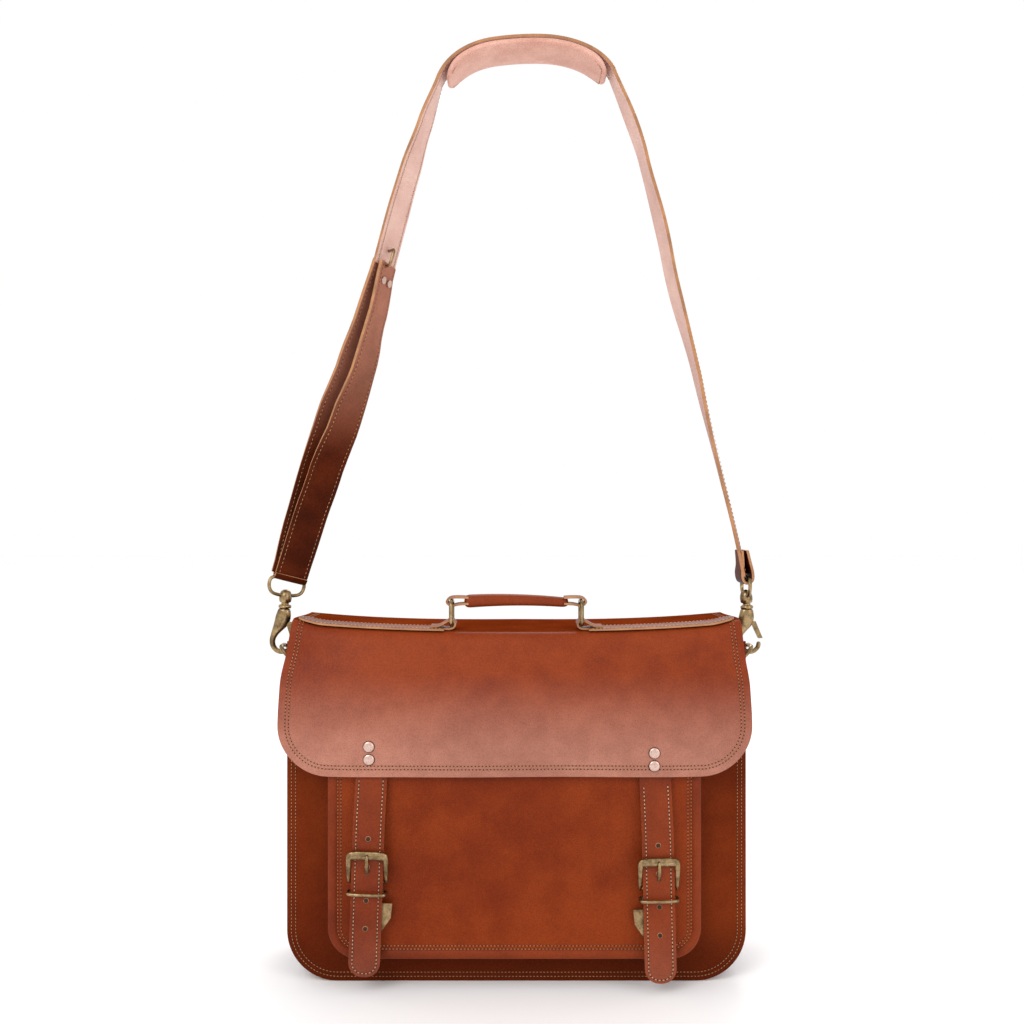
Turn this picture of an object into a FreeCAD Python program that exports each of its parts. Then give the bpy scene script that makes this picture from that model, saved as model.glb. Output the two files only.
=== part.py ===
import FreeCAD, Part
import math
import os
import Sketcher

# Satchel bag hanging from its shoulder strap.  Millimetres, +Z up, front faces -Y, base of the bag at Z = 0.

DOC = FreeCAD.newDocument("Satchel")
V = FreeCAD.Vector

# ---- driving dimensions -------------------------------------------------------------------------------
SIZES = {
    "body_width": 380, "body_height": 286, "body_depth": 95, "body_corner": 42,
    "leather": 2.4, "seam_flange": 7, "gap": 0.4, "lining": 1.2, "board": 2,
    "flap_leather": 3, "flap_top_width": 372, "flap_low_width": 384, "flap_low_edge": 172.6,
    "flap_corner": 41, "flap_bulge": 22, "flap_knee": 226, "fold_gap": 0.8,
    "pocket_width": 303, "pocket_low": 25, "pocket_high": 222, "pocket_proud": 18, "pocket_corner": 25,
    "strap_width": 25.4, "strap_thick": 3.2, "strap_reach": 158, "strap_stand": 8.4, "strap_root": 34,
    "strap_left": -117.4, "strap_right": 112.4, "strap_drop": 5.2, "strap_lean": 2,
    "buckle_width": 34.5, "buckle_high": 28, "buckle_drop": 72, "buckle_bar": 3, "roller_size": 5,
    "prong_hole": 5, "hole_pitch": 22.5, "hole_first": 46.6, "hole_size": 3.6,
    "keeper_drop": 91, "keeper_wire": 2.6,
    "plate_width": 34, "plate_high": 24, "plate_drop": 112, "plate_thick": 1.4, "plate_aside": 3.6, "magnet_size": 14,
    "chape_thick": 1.6, "seat_high": 3.4, "seat_floor": 0.8, "hook_slack": 1.8,
    "dring_wire": 3.6, "dring_width": 27, "dring_high": 22, "dring_reach": 203, "pivot_high": 272,
    "tab_width": 21, "tab_thick": 2,
    "hook_thick": 5, "hook_bore": 14, "hook_wall": 4.4, "hook_lean": 4, "hook_high": 38,
    "post_size": 4, "ring_wire": 3.4, "ring_inner": 31, "ring_high": 13, "ring_rise": 48,
    "sling_width": 29, "sling_thick": 3.2, "sling_low": 333, "sling_top": 770, "pad_left": -66, "pad_right": 84,
    "slider_high": 608, "slider_high_half": 7, "layer_gap": 2.6, "layer_bow": 8,
    "pad_width": 48, "pad_thick": 10, "pad_rise": 32,
    "handle_span": 109, "handle_ring_high": 19, "handle_set": 31, "handle_ring_depth": 24, "handle_wire": 3.4,
    "loop_thick": 2.4, "grip_size": 12, "grip_span": 88, "base_width": 26,
    "rivet_size": 9, "rivet_pitch": 10.5, "rivet_above": 16.2,
}
SHEET = DOC.addObject("Spreadsheet::Sheet", "Sizes")
for row, (alias, number) in enumerate(SIZES.items(), start=1):
    SHEET.set("A%d" % row, alias.replace("_", " "))
    SHEET.set("B%d" % row, str(number))
    SHEET.setAlias("B%d" % row, alias)
DOC.recompute()

# height of the lower bars of the handle's rings, whose loops lie on the flap
LOW_AXIS = "body_height + gap + flap_leather + handle_wire/2 + loop_thick + gap"
NODES = []
TAB_RIVETS = []
BASE_LOOPS = []
END_LOOPS = []
MAGNETS = []
AXES = {"XY": "XY_Plane", "XZ": "XZ_Plane", "YZ": "YZ_Plane"}


def named(text):
    """Write each size's name as the sheet's cell."""
    words = []
    word = ""
    for letter in text + " ":
        if letter.isalnum() or letter == "_":
            word += letter
            continue
        words.append("Sizes." + word if word in SIZES else word)
        words.append(letter)
        word = ""
    return "".join(words).strip()


def size(text):
    """Number of millimetres that an expression on the sheet gives."""
    return float(SHEET.evalExpression(named(text)))


def body_of(name, base=(0, 0, 0), axis=(0, 0, 1), angle=0.0):
    body = DOC.addObject("PartDesign::Body", name)
    body.Label = name
    body.Placement = FreeCAD.Placement(V(*base), FreeCAD.Rotation(V(*axis), angle))
    return body


def plane_of(body, key):
    for feature in body.Origin.OriginFeatures:
        if feature.Role == AXES[key]:
            return feature
    raise RuntimeError("no plane " + key)


def outline(sketch, corners):
    """Closed outline through the corners (x, y, radius); a radius belongs to a square corner only."""
    here = [V(size(x), size(y), 0) for x, y, _ in corners]
    spans = []
    for index, (x, y, radius) in enumerate(corners):
        if radius is None:
            spans.append([(x, y, here[index])])
            continue
        ends = []
        for other in (here[index - 1], here[(index + 1) % len(corners)]):
            way = (other - here[index]).normalize()
            reach = size(radius)
            ends.append(("(%s) + (%s) * (%d)" % (x, radius, round(way.x)),
                         "(%s) + (%s) * (%d)" % (y, radius, round(way.y)),
                         here[index] + way * reach))
        spans.append(ends)
    for index, span in enumerate(spans):
        start = span[-1]
        end = spans[(index + 1) % len(spans)][0]
        line = sketch.addGeometry(Part.LineSegment(start[2], end[2]), False)
        for place, point in ((1, start), (2, end)):
            fix(sketch, "DistanceX", line, place, point[0], point[2].x)
            fix(sketch, "DistanceY", line, place, point[1], point[2].y)
    for index, span in enumerate(spans):
        if len(span) == 2:
            round_corner(sketch, span, here[index], corners[index][2])


def fix(sketch, kind, geometry, place, text, number):
    """Hold one coordinate of a point to an expression."""
    at = sketch.addConstraint(Sketcher.Constraint(kind, -1, 1, geometry, place, number))
    sketch.setExpression("Constraints[%d]" % at, named(text))


def round_corner(sketch, span, corner, radius):
    first = span[0][2]
    last = span[1][2]
    centre = first + last - corner
    middle = centre + (corner - centre).normalize() * size(radius)
    arc = sketch.addGeometry(Part.Arc(first, middle, last), False)
    swapped = sketch.getPoint(arc, 1).distanceToPoint(first) > 1e-6
    for place, point in ((2 if swapped else 1, span[0]), (1 if swapped else 2, span[1])):
        fix(sketch, "DistanceX", arc, place, point[0], point[2].x)
        fix(sketch, "DistanceY", arc, place, point[1], point[2].y)
    at = sketch.addConstraint(Sketcher.Constraint("Radius", arc, size(radius)))
    sketch.setExpression("Constraints[%d]" % at, named(radius))


def circle(sketch, x, y, radius):
    ring = sketch.addGeometry(Part.Circle(V(size(x), size(y), 0), V(0, 0, 1), size(radius)), False)
    fix(sketch, "DistanceX", ring, 3, x, size(x))
    fix(sketch, "DistanceY", ring, 3, y, size(y))
    at = sketch.addConstraint(Sketcher.Constraint("Radius", ring, size(radius)))
    sketch.setExpression("Constraints[%d]" % at, named(radius))


def sketch_on(body, key, start):
    sketch = body.newObject("Sketcher::SketchObject", body.Name + "Sketch")
    sketch.AttachmentSupport = [(plane_of(body, key), "")]
    sketch.MapMode = "FlatFace"
    sketch.setExpression("AttachmentOffset.Base.z", named(start))
    return sketch


def pad(body, key, start, length, corners=(), circles=()):
    """Add a prism: it starts at START along the plane's normal and runs for LENGTH."""
    sketch = sketch_on(body, key, start)
    if corners:
        outline(sketch, corners)
    for x, y, radius in circles:
        circle(sketch, x, y, radius)
    feature = body.newObject("PartDesign::Pad", body.Name + "Pad")
    feature.Profile = sketch
    feature.setExpression("Length", named(length))
    body.Tip = feature
    return feature


def cut(body, key, start, length, corners=(), circles=()):
    """Take a prism away, from START along the plane's normal, and see that it did cut."""
    DOC.recompute()
    before = body.Shape.Volume
    sketch = sketch_on(body, key, start)
    if corners:
        outline(sketch, corners)
    for x, y, radius in circles:
        circle(sketch, x, y, radius)
    feature = body.newObject("PartDesign::Pocket", body.Name + "Pocket")
    feature.Profile = sketch
    feature.Reversed = True
    feature.setExpression("Length", named(length))
    body.Tip = feature
    DOC.recompute()
    if body.Shape.Volume > before - 1e-6:
        raise RuntimeError(body.Name + " was not cut")
    return feature


def keep(thing):
    NODES.append(thing)
    return thing


def u_shape(half, low, high, radius):
    """Outline of a panel with round lower corners."""
    return [("-(%s)" % half, high, None), ("-(%s)" % half, low, radius), (half, low, radius), (half, high, None)]


def block(x_half, low, high):
    return u_shape(x_half, low, high, None)


def wire_loop(name, half_wide, half_high, bend, wire, base, axis=(0, 0, 1), angle=0.0):
    """Closed rounded loop of round wire in the body's XZ plane, straight where the profile starts."""
    body = body_of(name, base, axis, angle)
    spine = sketch_on(body, "XZ", "0")
    outline(spine, [("-(%s)" % half_wide, "-(%s)" % half_high, bend), (half_wide, "-(%s)" % half_high, bend),
                    (half_wide, half_high, bend), ("-(%s)" % half_wide, half_high, bend)])
    section = sketch_on(body, "YZ", "0")
    circle(section, "0", half_high, "(%s)/2" % wire)
    pipe = body.newObject("PartDesign::AdditivePipe", name + "Pipe")
    pipe.Profile = section
    pipe.Spine = spine
    body.Tip = pipe
    return keep(body)


def together(name, things):
    """Equal pieces that are already objects, as one node of separate solids."""
    thing = DOC.addObject("Part::Compound", name)
    thing.Label = name
    thing.Links = things
    return keep(thing)


def group(name, shapes):
    """Several equal fasteners as one node."""
    thing = DOC.addObject("Part::Feature", name)
    thing.Label = name
    thing.Shape = Part.makeCompound(shapes)
    thing.Placement = FreeCAD.Placement()
    return keep(thing)


# ---- main compartment ---------------------------------------------------------------------------------
def main_compartment():
    half = "body_width/2"
    back = body_of("back_panel")
    pad(back, "XZ", "-body_depth/2", "leather", u_shape(half, "0", "body_height", "body_corner"))
    keep(back)
    front = body_of("front_panel")
    pad(front, "XZ", "body_depth/2 - leather", "leather", u_shape(half, "0", "body_height - 5", "body_corner"))
    keep(front)
    gusset = body_of("gusset_strip")
    pad(gusset, "XZ", "-(body_depth/2 - leather)", "body_depth - 2*leather",
        u_shape(half, "0", "body_height - 9", "body_corner"))
    cut(gusset, "XZ", "-body_depth", "2*body_depth",
        u_shape("body_width/2 - seam_flange - leather", "leather", "body_height + 5",
                "body_corner - seam_flange - leather"))
    for side in (-1, 1):
        cut(gusset, "XZ", "-(body_depth/2 - 2*leather)", "body_depth - 4*leather",
            [("%d*body_width" % side, "body_corner", None),
             ("%d*(body_width/2 - seam_flange)" % side, "body_corner", None),
             ("%d*(body_width/2 - seam_flange)" % side, "body_height", None),
             ("%d*body_width" % side, "body_height", None)])
    keep(gusset)
    board = body_of("base_board")
    pad(board, "XZ", "-(body_depth/2 - leather - lining - gap)", "body_depth - 2*(leather + lining + gap)",
        block("body_width/2 - body_corner", "leather + gap", "leather + gap + board"))
    keep(board)
    for name, start in (("back_lining", "-(body_depth/2 - leather)"),
                        ("front_lining", "body_depth/2 - leather - lining"),
                        ("divider_panel", "0")):
        panel = body_of(name)
        pad(panel, "XZ", start, "lining",
            u_shape("body_width/2 - seam_flange - leather - gap", "leather + 2*gap + board",
                    "body_height - 22", "body_corner - seam_flange"))
        keep(panel)
    slip = body_of("inner_slip_pocket")
    pad(slip, "XZ", "-(body_depth/2 - leather - lining)", "lining + 1", block("95", "95", "205"))
    keep(slip)


def front_pocket():
    panel = body_of("front_pocket_panel", (-1.7, 0, 0))
    pad(panel, "XZ", "body_depth/2 + pocket_proud - leather", "leather",
        u_shape("pocket_width/2", "pocket_low", "pocket_high", "pocket_corner"))
    keep(panel)
    wall = body_of("front_pocket_gusset", (-1.7, 0, 0))
    pad(wall, "XZ", "body_depth/2", "pocket_proud - leather",
        u_shape("pocket_width/2 - 2", "pocket_low + 2", "pocket_high - 4", "pocket_corner - 2"))
    cut(wall, "XZ", "0", "body_depth",
        u_shape("pocket_width/2 - 2 - leather", "pocket_low + 2 + leather", "pocket_high + 4",
                "pocket_corner - 2 - leather"))
    keep(wall)


# ---- flap ---------------------------------------------------------------------------------------------
def flap():
    top = body_of("flap_top")
    pad(top, "YZ", "-flap_top_width/2", "flap_top_width",
        [("-body_depth/2 + fold_gap", "body_height + gap", None), ("body_depth/2", "body_height + gap", None),
         ("body_depth/2", "body_height + gap + flap_leather", None),
         ("-body_depth/2 + fold_gap", "body_height + gap + flap_leather", None)])
    keep(top)
    fall = body_of("flap_front", (-1.5, 0, 0))
    inner = "-body_depth/2"
    pad(fall, "YZ", "-flap_low_width/2", "flap_low_width",
        [(inner, "body_height + gap + flap_leather", None),
         (inner + " - flap_leather", "body_height + gap", None),
         (inner + " - flap_bulge - flap_leather", "flap_knee", None),
         (inner + " - flap_bulge - flap_leather", "flap_low_edge", None),
         (inner + " - flap_bulge", "flap_low_edge", None), (inner + " - flap_bulge", "flap_knee", None),
         (inner + " - gap", "body_height - leather", None), (inner, "body_height - leather/2", None)])
    for side in (-1, 1):
        cut(fall, "XZ", "0", "2*body_depth",
            [("%d*flap_low_width" % side, "body_height + 9", None),
             ("%d*flap_top_width/2" % side, "body_height + 9", None),
             ("%d*flap_low_width/2" % side, "flap_knee + 15", None),
             ("%d*flap_low_width/2" % side, "flap_low_edge", "flap_corner"),
             ("%d*(flap_low_width/2 - flap_corner - 1)" % side, "flap_low_edge", None),
             ("%d*(flap_low_width/2 - flap_corner - 1)" % side, "flap_low_edge - 9", None),
             ("%d*flap_low_width" % side, "flap_low_edge - 9", None)])
    keep(fall)
    for side, place in ((-1, "left"), (1, "right")):
        base = body_of("handle_base_" + place)
        pad(base, "XY", "body_height + gap + flap_leather", "2",
            [("%d*(handle_span/2 + handle_wire/2 + 4)" % side, "-handle_set - base_width/2", None),
             ("%d*(flap_top_width/2 - 8)" % side, "-handle_set - base_width/2", None),
             ("%d*(flap_top_width/2 - 8)" % side, "-handle_set + base_width/2", None),
             ("%d*(handle_span/2 + handle_wire/2 + 4)" % side, "-handle_set + base_width/2", None)])
        keep(base)
        loop = body_of("handle_base_loop_" + place)
        hub = ("%d*handle_span/2" % side, LOW_AXIS)
        pad(loop, "XZ", "handle_set - 8", "16",
            circles=[hub + ("handle_wire/2 + loop_thick",), hub + ("handle_wire/2 + 0.1",)])
        BASE_LOOPS.append(loop)


def flap_rivets():
    shapes = []
    for x, drop in ((size("strap_left"), 0), (size("strap_right"), size("strap_drop"))):
        for step in range(2):
            high = size("flap_low_edge + rivet_above") + step * size("rivet_pitch") - drop
            front = -size("body_depth/2 + flap_bulge + flap_leather")
            radius = size("rivet_size/2")
            dome = Part.makeSphere(radius * 1.6, V(x, front + radius * 1.25, high))
            cap = Part.makeCylinder(radius, 2.2, V(x, front, high), V(0, -1, 0))
            shapes.append(dome.common(cap))
    group("flap_rivets", shapes)


# ---- closing straps -----------------------------------------------------------------------------------
def closing_strap(place, x, drop, lean):
    """Everything on one closing strap, built about the strap's own top at the flap's lower edge."""
    base = (size(x), -size("body_depth/2 + pocket_proud"), size("flap_low_edge") - drop)
    turn = ((0, 1, 0), lean)

    def piece(name):
        return body_of(name + "_" + place, base, *turn)

    root = piece("strap_root")
    pad(root, "XZ", "gap", "strap_thick", block("strap_width/2", "2", "strap_root"))
    keep(root)
    tongue = piece("closing_strap")
    face = "-strap_stand"
    pad(tongue, "YZ", "-strap_width/2", "strap_width",
        [("-gap", "-1", None), ("-gap - strap_thick", "-1", None), (face + " - strap_thick", "-34", None),
         (face + " - strap_thick", "-strap_reach", None), (face, "-strap_reach", None), (face, "-34", None)])
    for side in (-1, 1):
        cut(tongue, "XZ", "0", "40",
            [("%d*strap_width" % side, "-strap_reach + strap_width", None),
             ("%d*strap_width/2" % side, "-strap_reach + strap_width", None),
             ("%d*strap_width/2" % side, "-strap_reach", "strap_width/2 - 0.5"),
             ("%d*0.4" % side, "-strap_reach", None), ("%d*0.4" % side, "-strap_reach - 5", None),
             ("%d*strap_width" % side, "-strap_reach - 5", None)])
    cut(tongue, "XZ", "0", "40", circles=[("0", "-hole_first - hole_pitch*%d" % n, "hole_size/2")
                                            for n in (0, 2, 3)])
    cut(tongue, "XZ", "0", "40", block("prong_hole/2", "-hole_first - hole_pitch - 17",
                                       "-hole_first - hole_pitch + 4"))
    keep(tongue)
    heel = ("-strap_stand + 3", "-buckle_drop - buckle_high/2 + 3")
    chape = piece("chape")
    pad(chape, "XZ", "strap_stand - gap - chape_thick", "chape_thick",
        block("strap_width/2 - 1", "-plate_drop - plate_high/2 + 4", heel[1] + " - 1.5"))
    for start in ("-strap_width/2 + 1", "2"):
        pad(chape, "YZ", start, "strap_width/2 - 3", circles=[heel + ("3 - gap",), heel + ("1.3",)])
    cut(chape, "XZ", "0", "20", block("1.8", heel[1] + " - 3.4", heel[1] + " + 9"))
    keep(chape)
    frame = piece("buckle_frame")
    for side in (-1, 1):
        pad(frame, "YZ", "%d*(buckle_width/2 - buckle_bar/2) - buckle_bar/2" % side, "buckle_bar",
            [("-strap_stand - strap_thick - roller_size - 0.5", "-buckle_drop + buckle_high/2", None),
             ("-strap_stand - strap_thick - roller_size/2", "-buckle_drop - buckle_high/2 + 2", None),
             ("-strap_stand + 4.6", "-buckle_drop - buckle_high/2", None),
             ("-strap_stand + 4.6", "-buckle_drop - buckle_high/2 + 5", None),
             ("-strap_stand - strap_thick - 1", "-buckle_drop + buckle_high/2", None)])
    pad(frame, "YZ", "-buckle_width/2 + 1", "buckle_width - 2",
        circles=[("-strap_stand - strap_thick - roller_size/2 - 0.3", "-buckle_drop + buckle_high/2 - 2.6", "1.2")])
    pad(frame, "YZ", "-buckle_width/2 + 1", "buckle_width - 2",
        circles=[heel + ("1.2",)])
    keep(frame)
    roller = piece("buckle_roller")
    hub = ("-strap_stand - strap_thick - roller_size/2 - 0.3", "-buckle_drop + buckle_high/2 - 2.6")
    pad(roller, "YZ", "-buckle_width/2 + buckle_bar + 0.4", "buckle_width - 2*buckle_bar - 0.8",
        circles=[hub + ("roller_size/2",), hub + ("1.25",)])
    keep(roller)
    prong = piece("buckle_prong")
    pad(prong, "YZ", "-1.3", "2.6", circles=[heel + ("2.4",)])
    pad(prong, "YZ", "-1.3", "2.6",
        [("-strap_stand + 4", heel[1], None), ("-strap_stand + 4", heel[1] + " + 1.6", None),
         ("-strap_stand - strap_thick - 3.2", "-buckle_drop + 3", None),
         ("-strap_stand - strap_thick - roller_size - 1", "-buckle_drop + buckle_high/2 - 2", None),
         ("-strap_stand - strap_thick - roller_size - 3", "-buckle_drop + buckle_high/2 - 2", None),
         ("-strap_stand - strap_thick - 5.2", "-buckle_drop + 1", None),
         ("-strap_stand + 1.6", heel[1] + " - 1.6", None)])
    cut(prong, "YZ", "-9", "18", circles=[heel + ("1.25",)])
    keep(prong)
    keeper = piece("keeper")
    pad(keeper, "XY", "-keeper_drop - keeper_wire/2", "keeper_wire",
        [("-strap_width/2 - keeper_wire", "-strap_stand - strap_thick - keeper_wire - 0.4", "2"),
         ("strap_width/2 + keeper_wire", "-strap_stand - strap_thick - keeper_wire - 0.4", "2"),
         ("strap_width/2 + keeper_wire", "-strap_stand + 2.4 + keeper_wire", "2"),
         ("-strap_width/2 - keeper_wire", "-strap_stand + 2.4 + keeper_wire", "2")])
    cut(keeper, "XY", "-keeper_drop - 5", "10",
        [("-strap_width/2 - 0.4", "-strap_stand - strap_thick - 0.4", None),
         ("strap_width/2 + 0.4", "-strap_stand - strap_thick - 0.4", None),
         ("strap_width/2 + 0.4", "-strap_stand + 2.5", None),
         ("-strap_width/2 - 0.4", "-strap_stand + 2.5", None)])
    keep(keeper)
    aside = "%d*plate_aside" % (1 if place == "left" else -1)
    shield = [(aside + " - plate_width/2", "-plate_drop + plate_high/2", None),
              (aside + " - plate_width/2 + 1", "-plate_drop", None),
              (aside + " - 8", "-plate_drop - plate_high/2", None),
              (aside + " + 8", "-plate_drop - plate_high/2", None),
              (aside + " + plate_width/2 - 1", "-plate_drop", None),
              (aside + " + plate_width/2", "-plate_drop + plate_high/2", None)]
    male = piece("clasp_plate")
    pad(male, "XZ", "strap_stand - gap - chape_thick - plate_thick", "plate_thick", shield)
    pad(male, "XZ", "strap_stand - gap - chape_thick - plate_thick - 0.8", "1.6",
        circles=[("0", "-plate_drop", "2.4")])
    keep(male)
    female = piece("clasp_seat")
    pad(female, "XZ", "0", "seat_high", circles=[("0", "-plate_drop", "magnet_size/2 + 1.4")])
    cut(female, "XZ", "seat_floor", "9", circles=[("0", "-plate_drop", "magnet_size/2")])
    keep(female)
    magnet = piece("clasp_magnet")
    pad(magnet, "XZ", "seat_floor", "seat_high - seat_floor",
        circles=[("0", "-plate_drop", "magnet_size/2"), ("0", "-plate_drop", "2.8")])
    MAGNETS.append(magnet)


# ---- D-rings and snap hooks ---------------------------------------------------------------------------
def side_fitting(place, side):
    reach = size("dring_reach")
    bar_x = size("body_width/2 - seam_flange") + size("tab_thick + dring_wire/2 + 1")
    rise = math.sqrt(size("dring_high") ** 2 - (reach - bar_x) ** 2)
    bar_z = size("pivot_high") - rise
    wall = side * size("body_width/2 - seam_flange")
    tab = body_of("dring_tab_" + place, (wall, 0, bar_z))
    pad(tab, "XY", "-34", "34", [("0", "-tab_width/2", None), ("%d*tab_thick" % side, "-tab_width/2", None),
                                 ("%d*tab_thick" % side, "tab_width/2", None), ("0", "tab_width/2", None)])
    pad(tab, "XZ", "-tab_width/2", "tab_width",
        circles=[("%d*(tab_thick + dring_wire/2 + 1)" % side, "0", "dring_wire/2 + 0.1 + tab_thick"),
                 ("%d*(tab_thick + dring_wire/2 + 1)" % side, "0", "dring_wire/2 + 0.1")])
    keep(tab)
    outside = V(wall + side * size("tab_thick"), 0, bar_z - 20)
    TAB_RIVETS.append(Part.makeCylinder(size("rivet_size/2 - 0.5"), 1.4, outside, V(side, 0, 0)))
    tilt = math.degrees(math.atan2(reach - bar_x, rise)) * side
    ring = body_of("dring_" + place, (side * bar_x, 0, bar_z), (0, 1, 0), tilt)
    spine = sketch_on(ring, "YZ", "0")
    outline(spine, [("-dring_width/2", "0", "1.9"), ("-dring_width/2", "dring_high", "9"),
                    ("dring_width/2", "dring_high", "9"), ("dring_width/2", "0", "1.9")])
    section = sketch_on(ring, "XZ", "0")
    circle(section, "0", "dring_high", "dring_wire/2")
    pipe = ring.newObject("PartDesign::AdditivePipe", ring.Name + "Pipe")
    pipe.Profile = section
    pipe.Spine = spine
    ring.Tip = pipe
    keep(ring)
    snap_hook(place, side, reach)


def snap_hook(place, side, reach):
    """Hook about the centre of its bowl, with its post straight up; both hooks face the same way."""
    base = (side * reach, 0, size("pivot_high") + size("hook_bore/2 - dring_wire/2 - hook_slack"))
    turn = ((0, 1, 0), -side * size("hook_lean"))
    spine = -1
    hook = body_of("hook_body_" + place, base, *turn)
    outer = "hook_bore/2 + hook_wall"
    pad(hook, "XZ", "-hook_thick/2", "hook_thick", circles=[("0", "0", outer)])
    pad(hook, "XZ", "-hook_thick/2", "hook_thick",
        [("%d*(%s)" % (spine, outer), "0", None), ("%d*(%s - hook_wall)" % (spine, outer), "0", None),
         ("-%d*4" % spine, "hook_high - 14", None), ("-%d*4" % spine, "hook_high - 6", None),
         ("%d*4" % spine, "hook_high - 6", None), ("%d*(%s)" % (spine, outer), "hook_high - 16", None)])
    pad(hook, "XY", "hook_high - 7", "5", circles=[("0", "0", "6")])
    cut(hook, "XZ", "-9", "18", circles=[("0", "0", "hook_bore/2")])
    cut(hook, "XZ", "-9", "18",
        [("-%d*30" % spine, "1", None), ("-%d*1" % spine, "1", None), ("-%d*1" % spine, "hook_high - 20", None),
         ("-%d*30" % spine, "hook_high - 20", None)])
    cut(hook, "XZ", "-9", "18",
        [("-%d*1.5" % spine, "0.5", None), ("%d*(hook_bore/2 - 0.6)" % spine, "0.5", None),
         ("%d*(hook_bore/2 - 0.6)" % spine, "7", None), ("-%d*1.5" % spine, "14", None)])
    cut(hook, "XY", "hook_high - 16", "30", circles=[("0", "0", "post_size/2 + 0.05")])
    keep(hook)
    gate = body_of("hook_gate_" + place, base, *turn)
    pad(gate, "XZ", "-hook_thick/2 + 0.6", "hook_thick - 1.2",
        [("-%d*(%s - 0.3)" % (spine, outer), "2.4", None),
         ("-%d*(%s - hook_wall + 0.3)" % (spine, outer), "2.4", None),
         ("-%d*1.8" % spine, "hook_high - 21.2", None), ("-%d*6" % spine, "hook_high - 20.4", None)])
    keep(gate)
    post = body_of("swivel_post_" + place, base, *turn)
    pad(post, "XY", "hook_high - 12", "ring_rise - hook_high + 12 - ring_high/2 - ring_wire/2 - 0.4",
        circles=[("0", "0", "post_size/2")])
    pad(post, "XY", "hook_high - 10", "2.6", circles=[("0", "0", "post_size/2 + 0.04")])
    keep(post)
    top = FreeCAD.Placement(V(*base), FreeCAD.Rotation(V(0, 1, 0), -side * size("hook_lean")))
    centre = top.multVec(V(0, 0, size("ring_rise")))
    twist = FreeCAD.Rotation(V(0, 0, 1), 90 if side > 0 else 38)
    lean = FreeCAD.Rotation(V(0, 1, 0), 14 if side < 0 else -12)
    ring = wire_loop("swivel_ring_" + place, "ring_inner/2 + ring_wire/2", "ring_high/2", "3.2", "ring_wire",
                     (centre.x, centre.y, centre.z))
    ring.Placement = FreeCAD.Placement(centre, lean.multiply(twist))


# ---- shoulder strap -----------------------------------------------------------------------------------
def lie(along, twist):
    """Directions of a strap's width and of its face; a twist of 0 lays the width along Y."""
    depth = V(0, 1, 0)
    face = along.cross(depth).normalize()
    turn = math.radians(twist)
    wide = depth * math.cos(turn) + face * math.sin(turn)
    return wide, along.cross(wide).normalize()


def run_of(points, index):
    return (points[min(index + 1, len(points) - 1)] - points[max(index - 1, 0)]).normalize()


def band(name, points, width, thick, twists, raised=0.0):
    """Flat strap lofted through stations, RAISED off the line along its face."""
    sections = []
    for index, point in enumerate(points):
        wide, flat = lie(run_of(points, index), twists[index])
        centre = point + flat * raised
        ring = [centre + wide * (a * width / 2) + flat * (b * thick / 2)
                for a, b in ((-1, -1), (1, -1), (1, 1), (-1, 1), (-1, -1))]
        sections.append(Part.makePolygon(ring))
    thing = DOC.addObject("Part::Feature", name)
    thing.Label = name
    thing.Shape = Part.makeLoft(sections, True, True)
    thing.Placement = FreeCAD.Placement()
    return keep(thing)


def between(first, last, share):
    return first + (last - first) * share


def shoulder_strap():
    width = size("sling_width")
    thick = size("sling_thick")
    low = size("sling_low")
    high = size("sling_top")
    left_low = V(-196, 0, low)
    left_top = V(size("pad_left"), 0, high - 6)
    slide = between(left_low, left_top, (size("slider_high") - low) / (high - 6 - low))
    along = (left_top - left_low).normalize()
    room = size("slider_high_half + keeper_wire/2 + gap") + 1
    steps = 6
    upper = [between(slide + along * room, left_top - along * 2.5, n / steps) for n in range(steps + 1)]
    band("strap_upper_left", upper, width, thick, [-24 + 24 * n / steps for n in range(steps + 1)])
    fold = [between(left_low + along * 6, slide - along * room, n / steps) for n in range(steps + 1)]
    turns = [-60, -68, -70, -60, -42, -28, -24]
    apart = size("sling_thick/2 + layer_gap")
    band("strap_fold_front", fold, width, thick, turns, -apart)
    bowed = [spot - V(size("layer_bow") * math.sin(math.pi * n / steps), 0, 0) for n, spot in enumerate(fold)]
    band("strap_fold_back", bowed, width, thick, turns, apart)
    right_top = V(size("pad_right"), 0, high - 2)
    right_low = V(198, 0, low)
    knee = V(119, 0, high - 108)
    bend = [right_low, between(right_low, knee, 0.25), between(right_low, knee, 0.5),
            between(right_low, knee, 0.75), knee, V(104, 0, high - 52), right_top]
    band("strap_right", bend, width, thick, [0, 4, 6, 8, 10, 4, 0])
    span = right_top - left_top
    count = 8
    arch = []
    for n in range(count + 1):
        share = n / count
        lift = 4 * share * (1 - share) * size("pad_rise")
        arch.append(left_top + span * share + V(0, 0, lift))
    flat_run = [0] * (count + 1)
    band("strap_under_pad", arch, width, thick, flat_run)
    band("shoulder_pad", arch, size("pad_width"), size("pad_thick"), flat_run,
         -size("pad_thick/2 + sling_thick/2 + gap"))
    slider = wire_loop("strap_slider", "sling_width/2 + 3", "slider_high_half", "3", "keeper_wire", (0, 0, 0))
    lean = FreeCAD.Rotation(V(0, 1, 0), math.degrees(math.atan2(along.x, along.z)))
    slider.Placement = FreeCAD.Placement(slide, lean.multiply(FreeCAD.Rotation(V(0, 0, 1), 114)))
    wide, flat = lie(along, turns[-1])
    rivets = []
    for step in range(2):
        spot = slide - along * (room + 10) + wide * (5 - 10 * step) - flat * (apart + thick / 2 + 0.6)
        rivets.append(Part.makeCylinder(3.2, 1.4, spot, flat * -1))
    group("slider_rivets", rivets)


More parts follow.
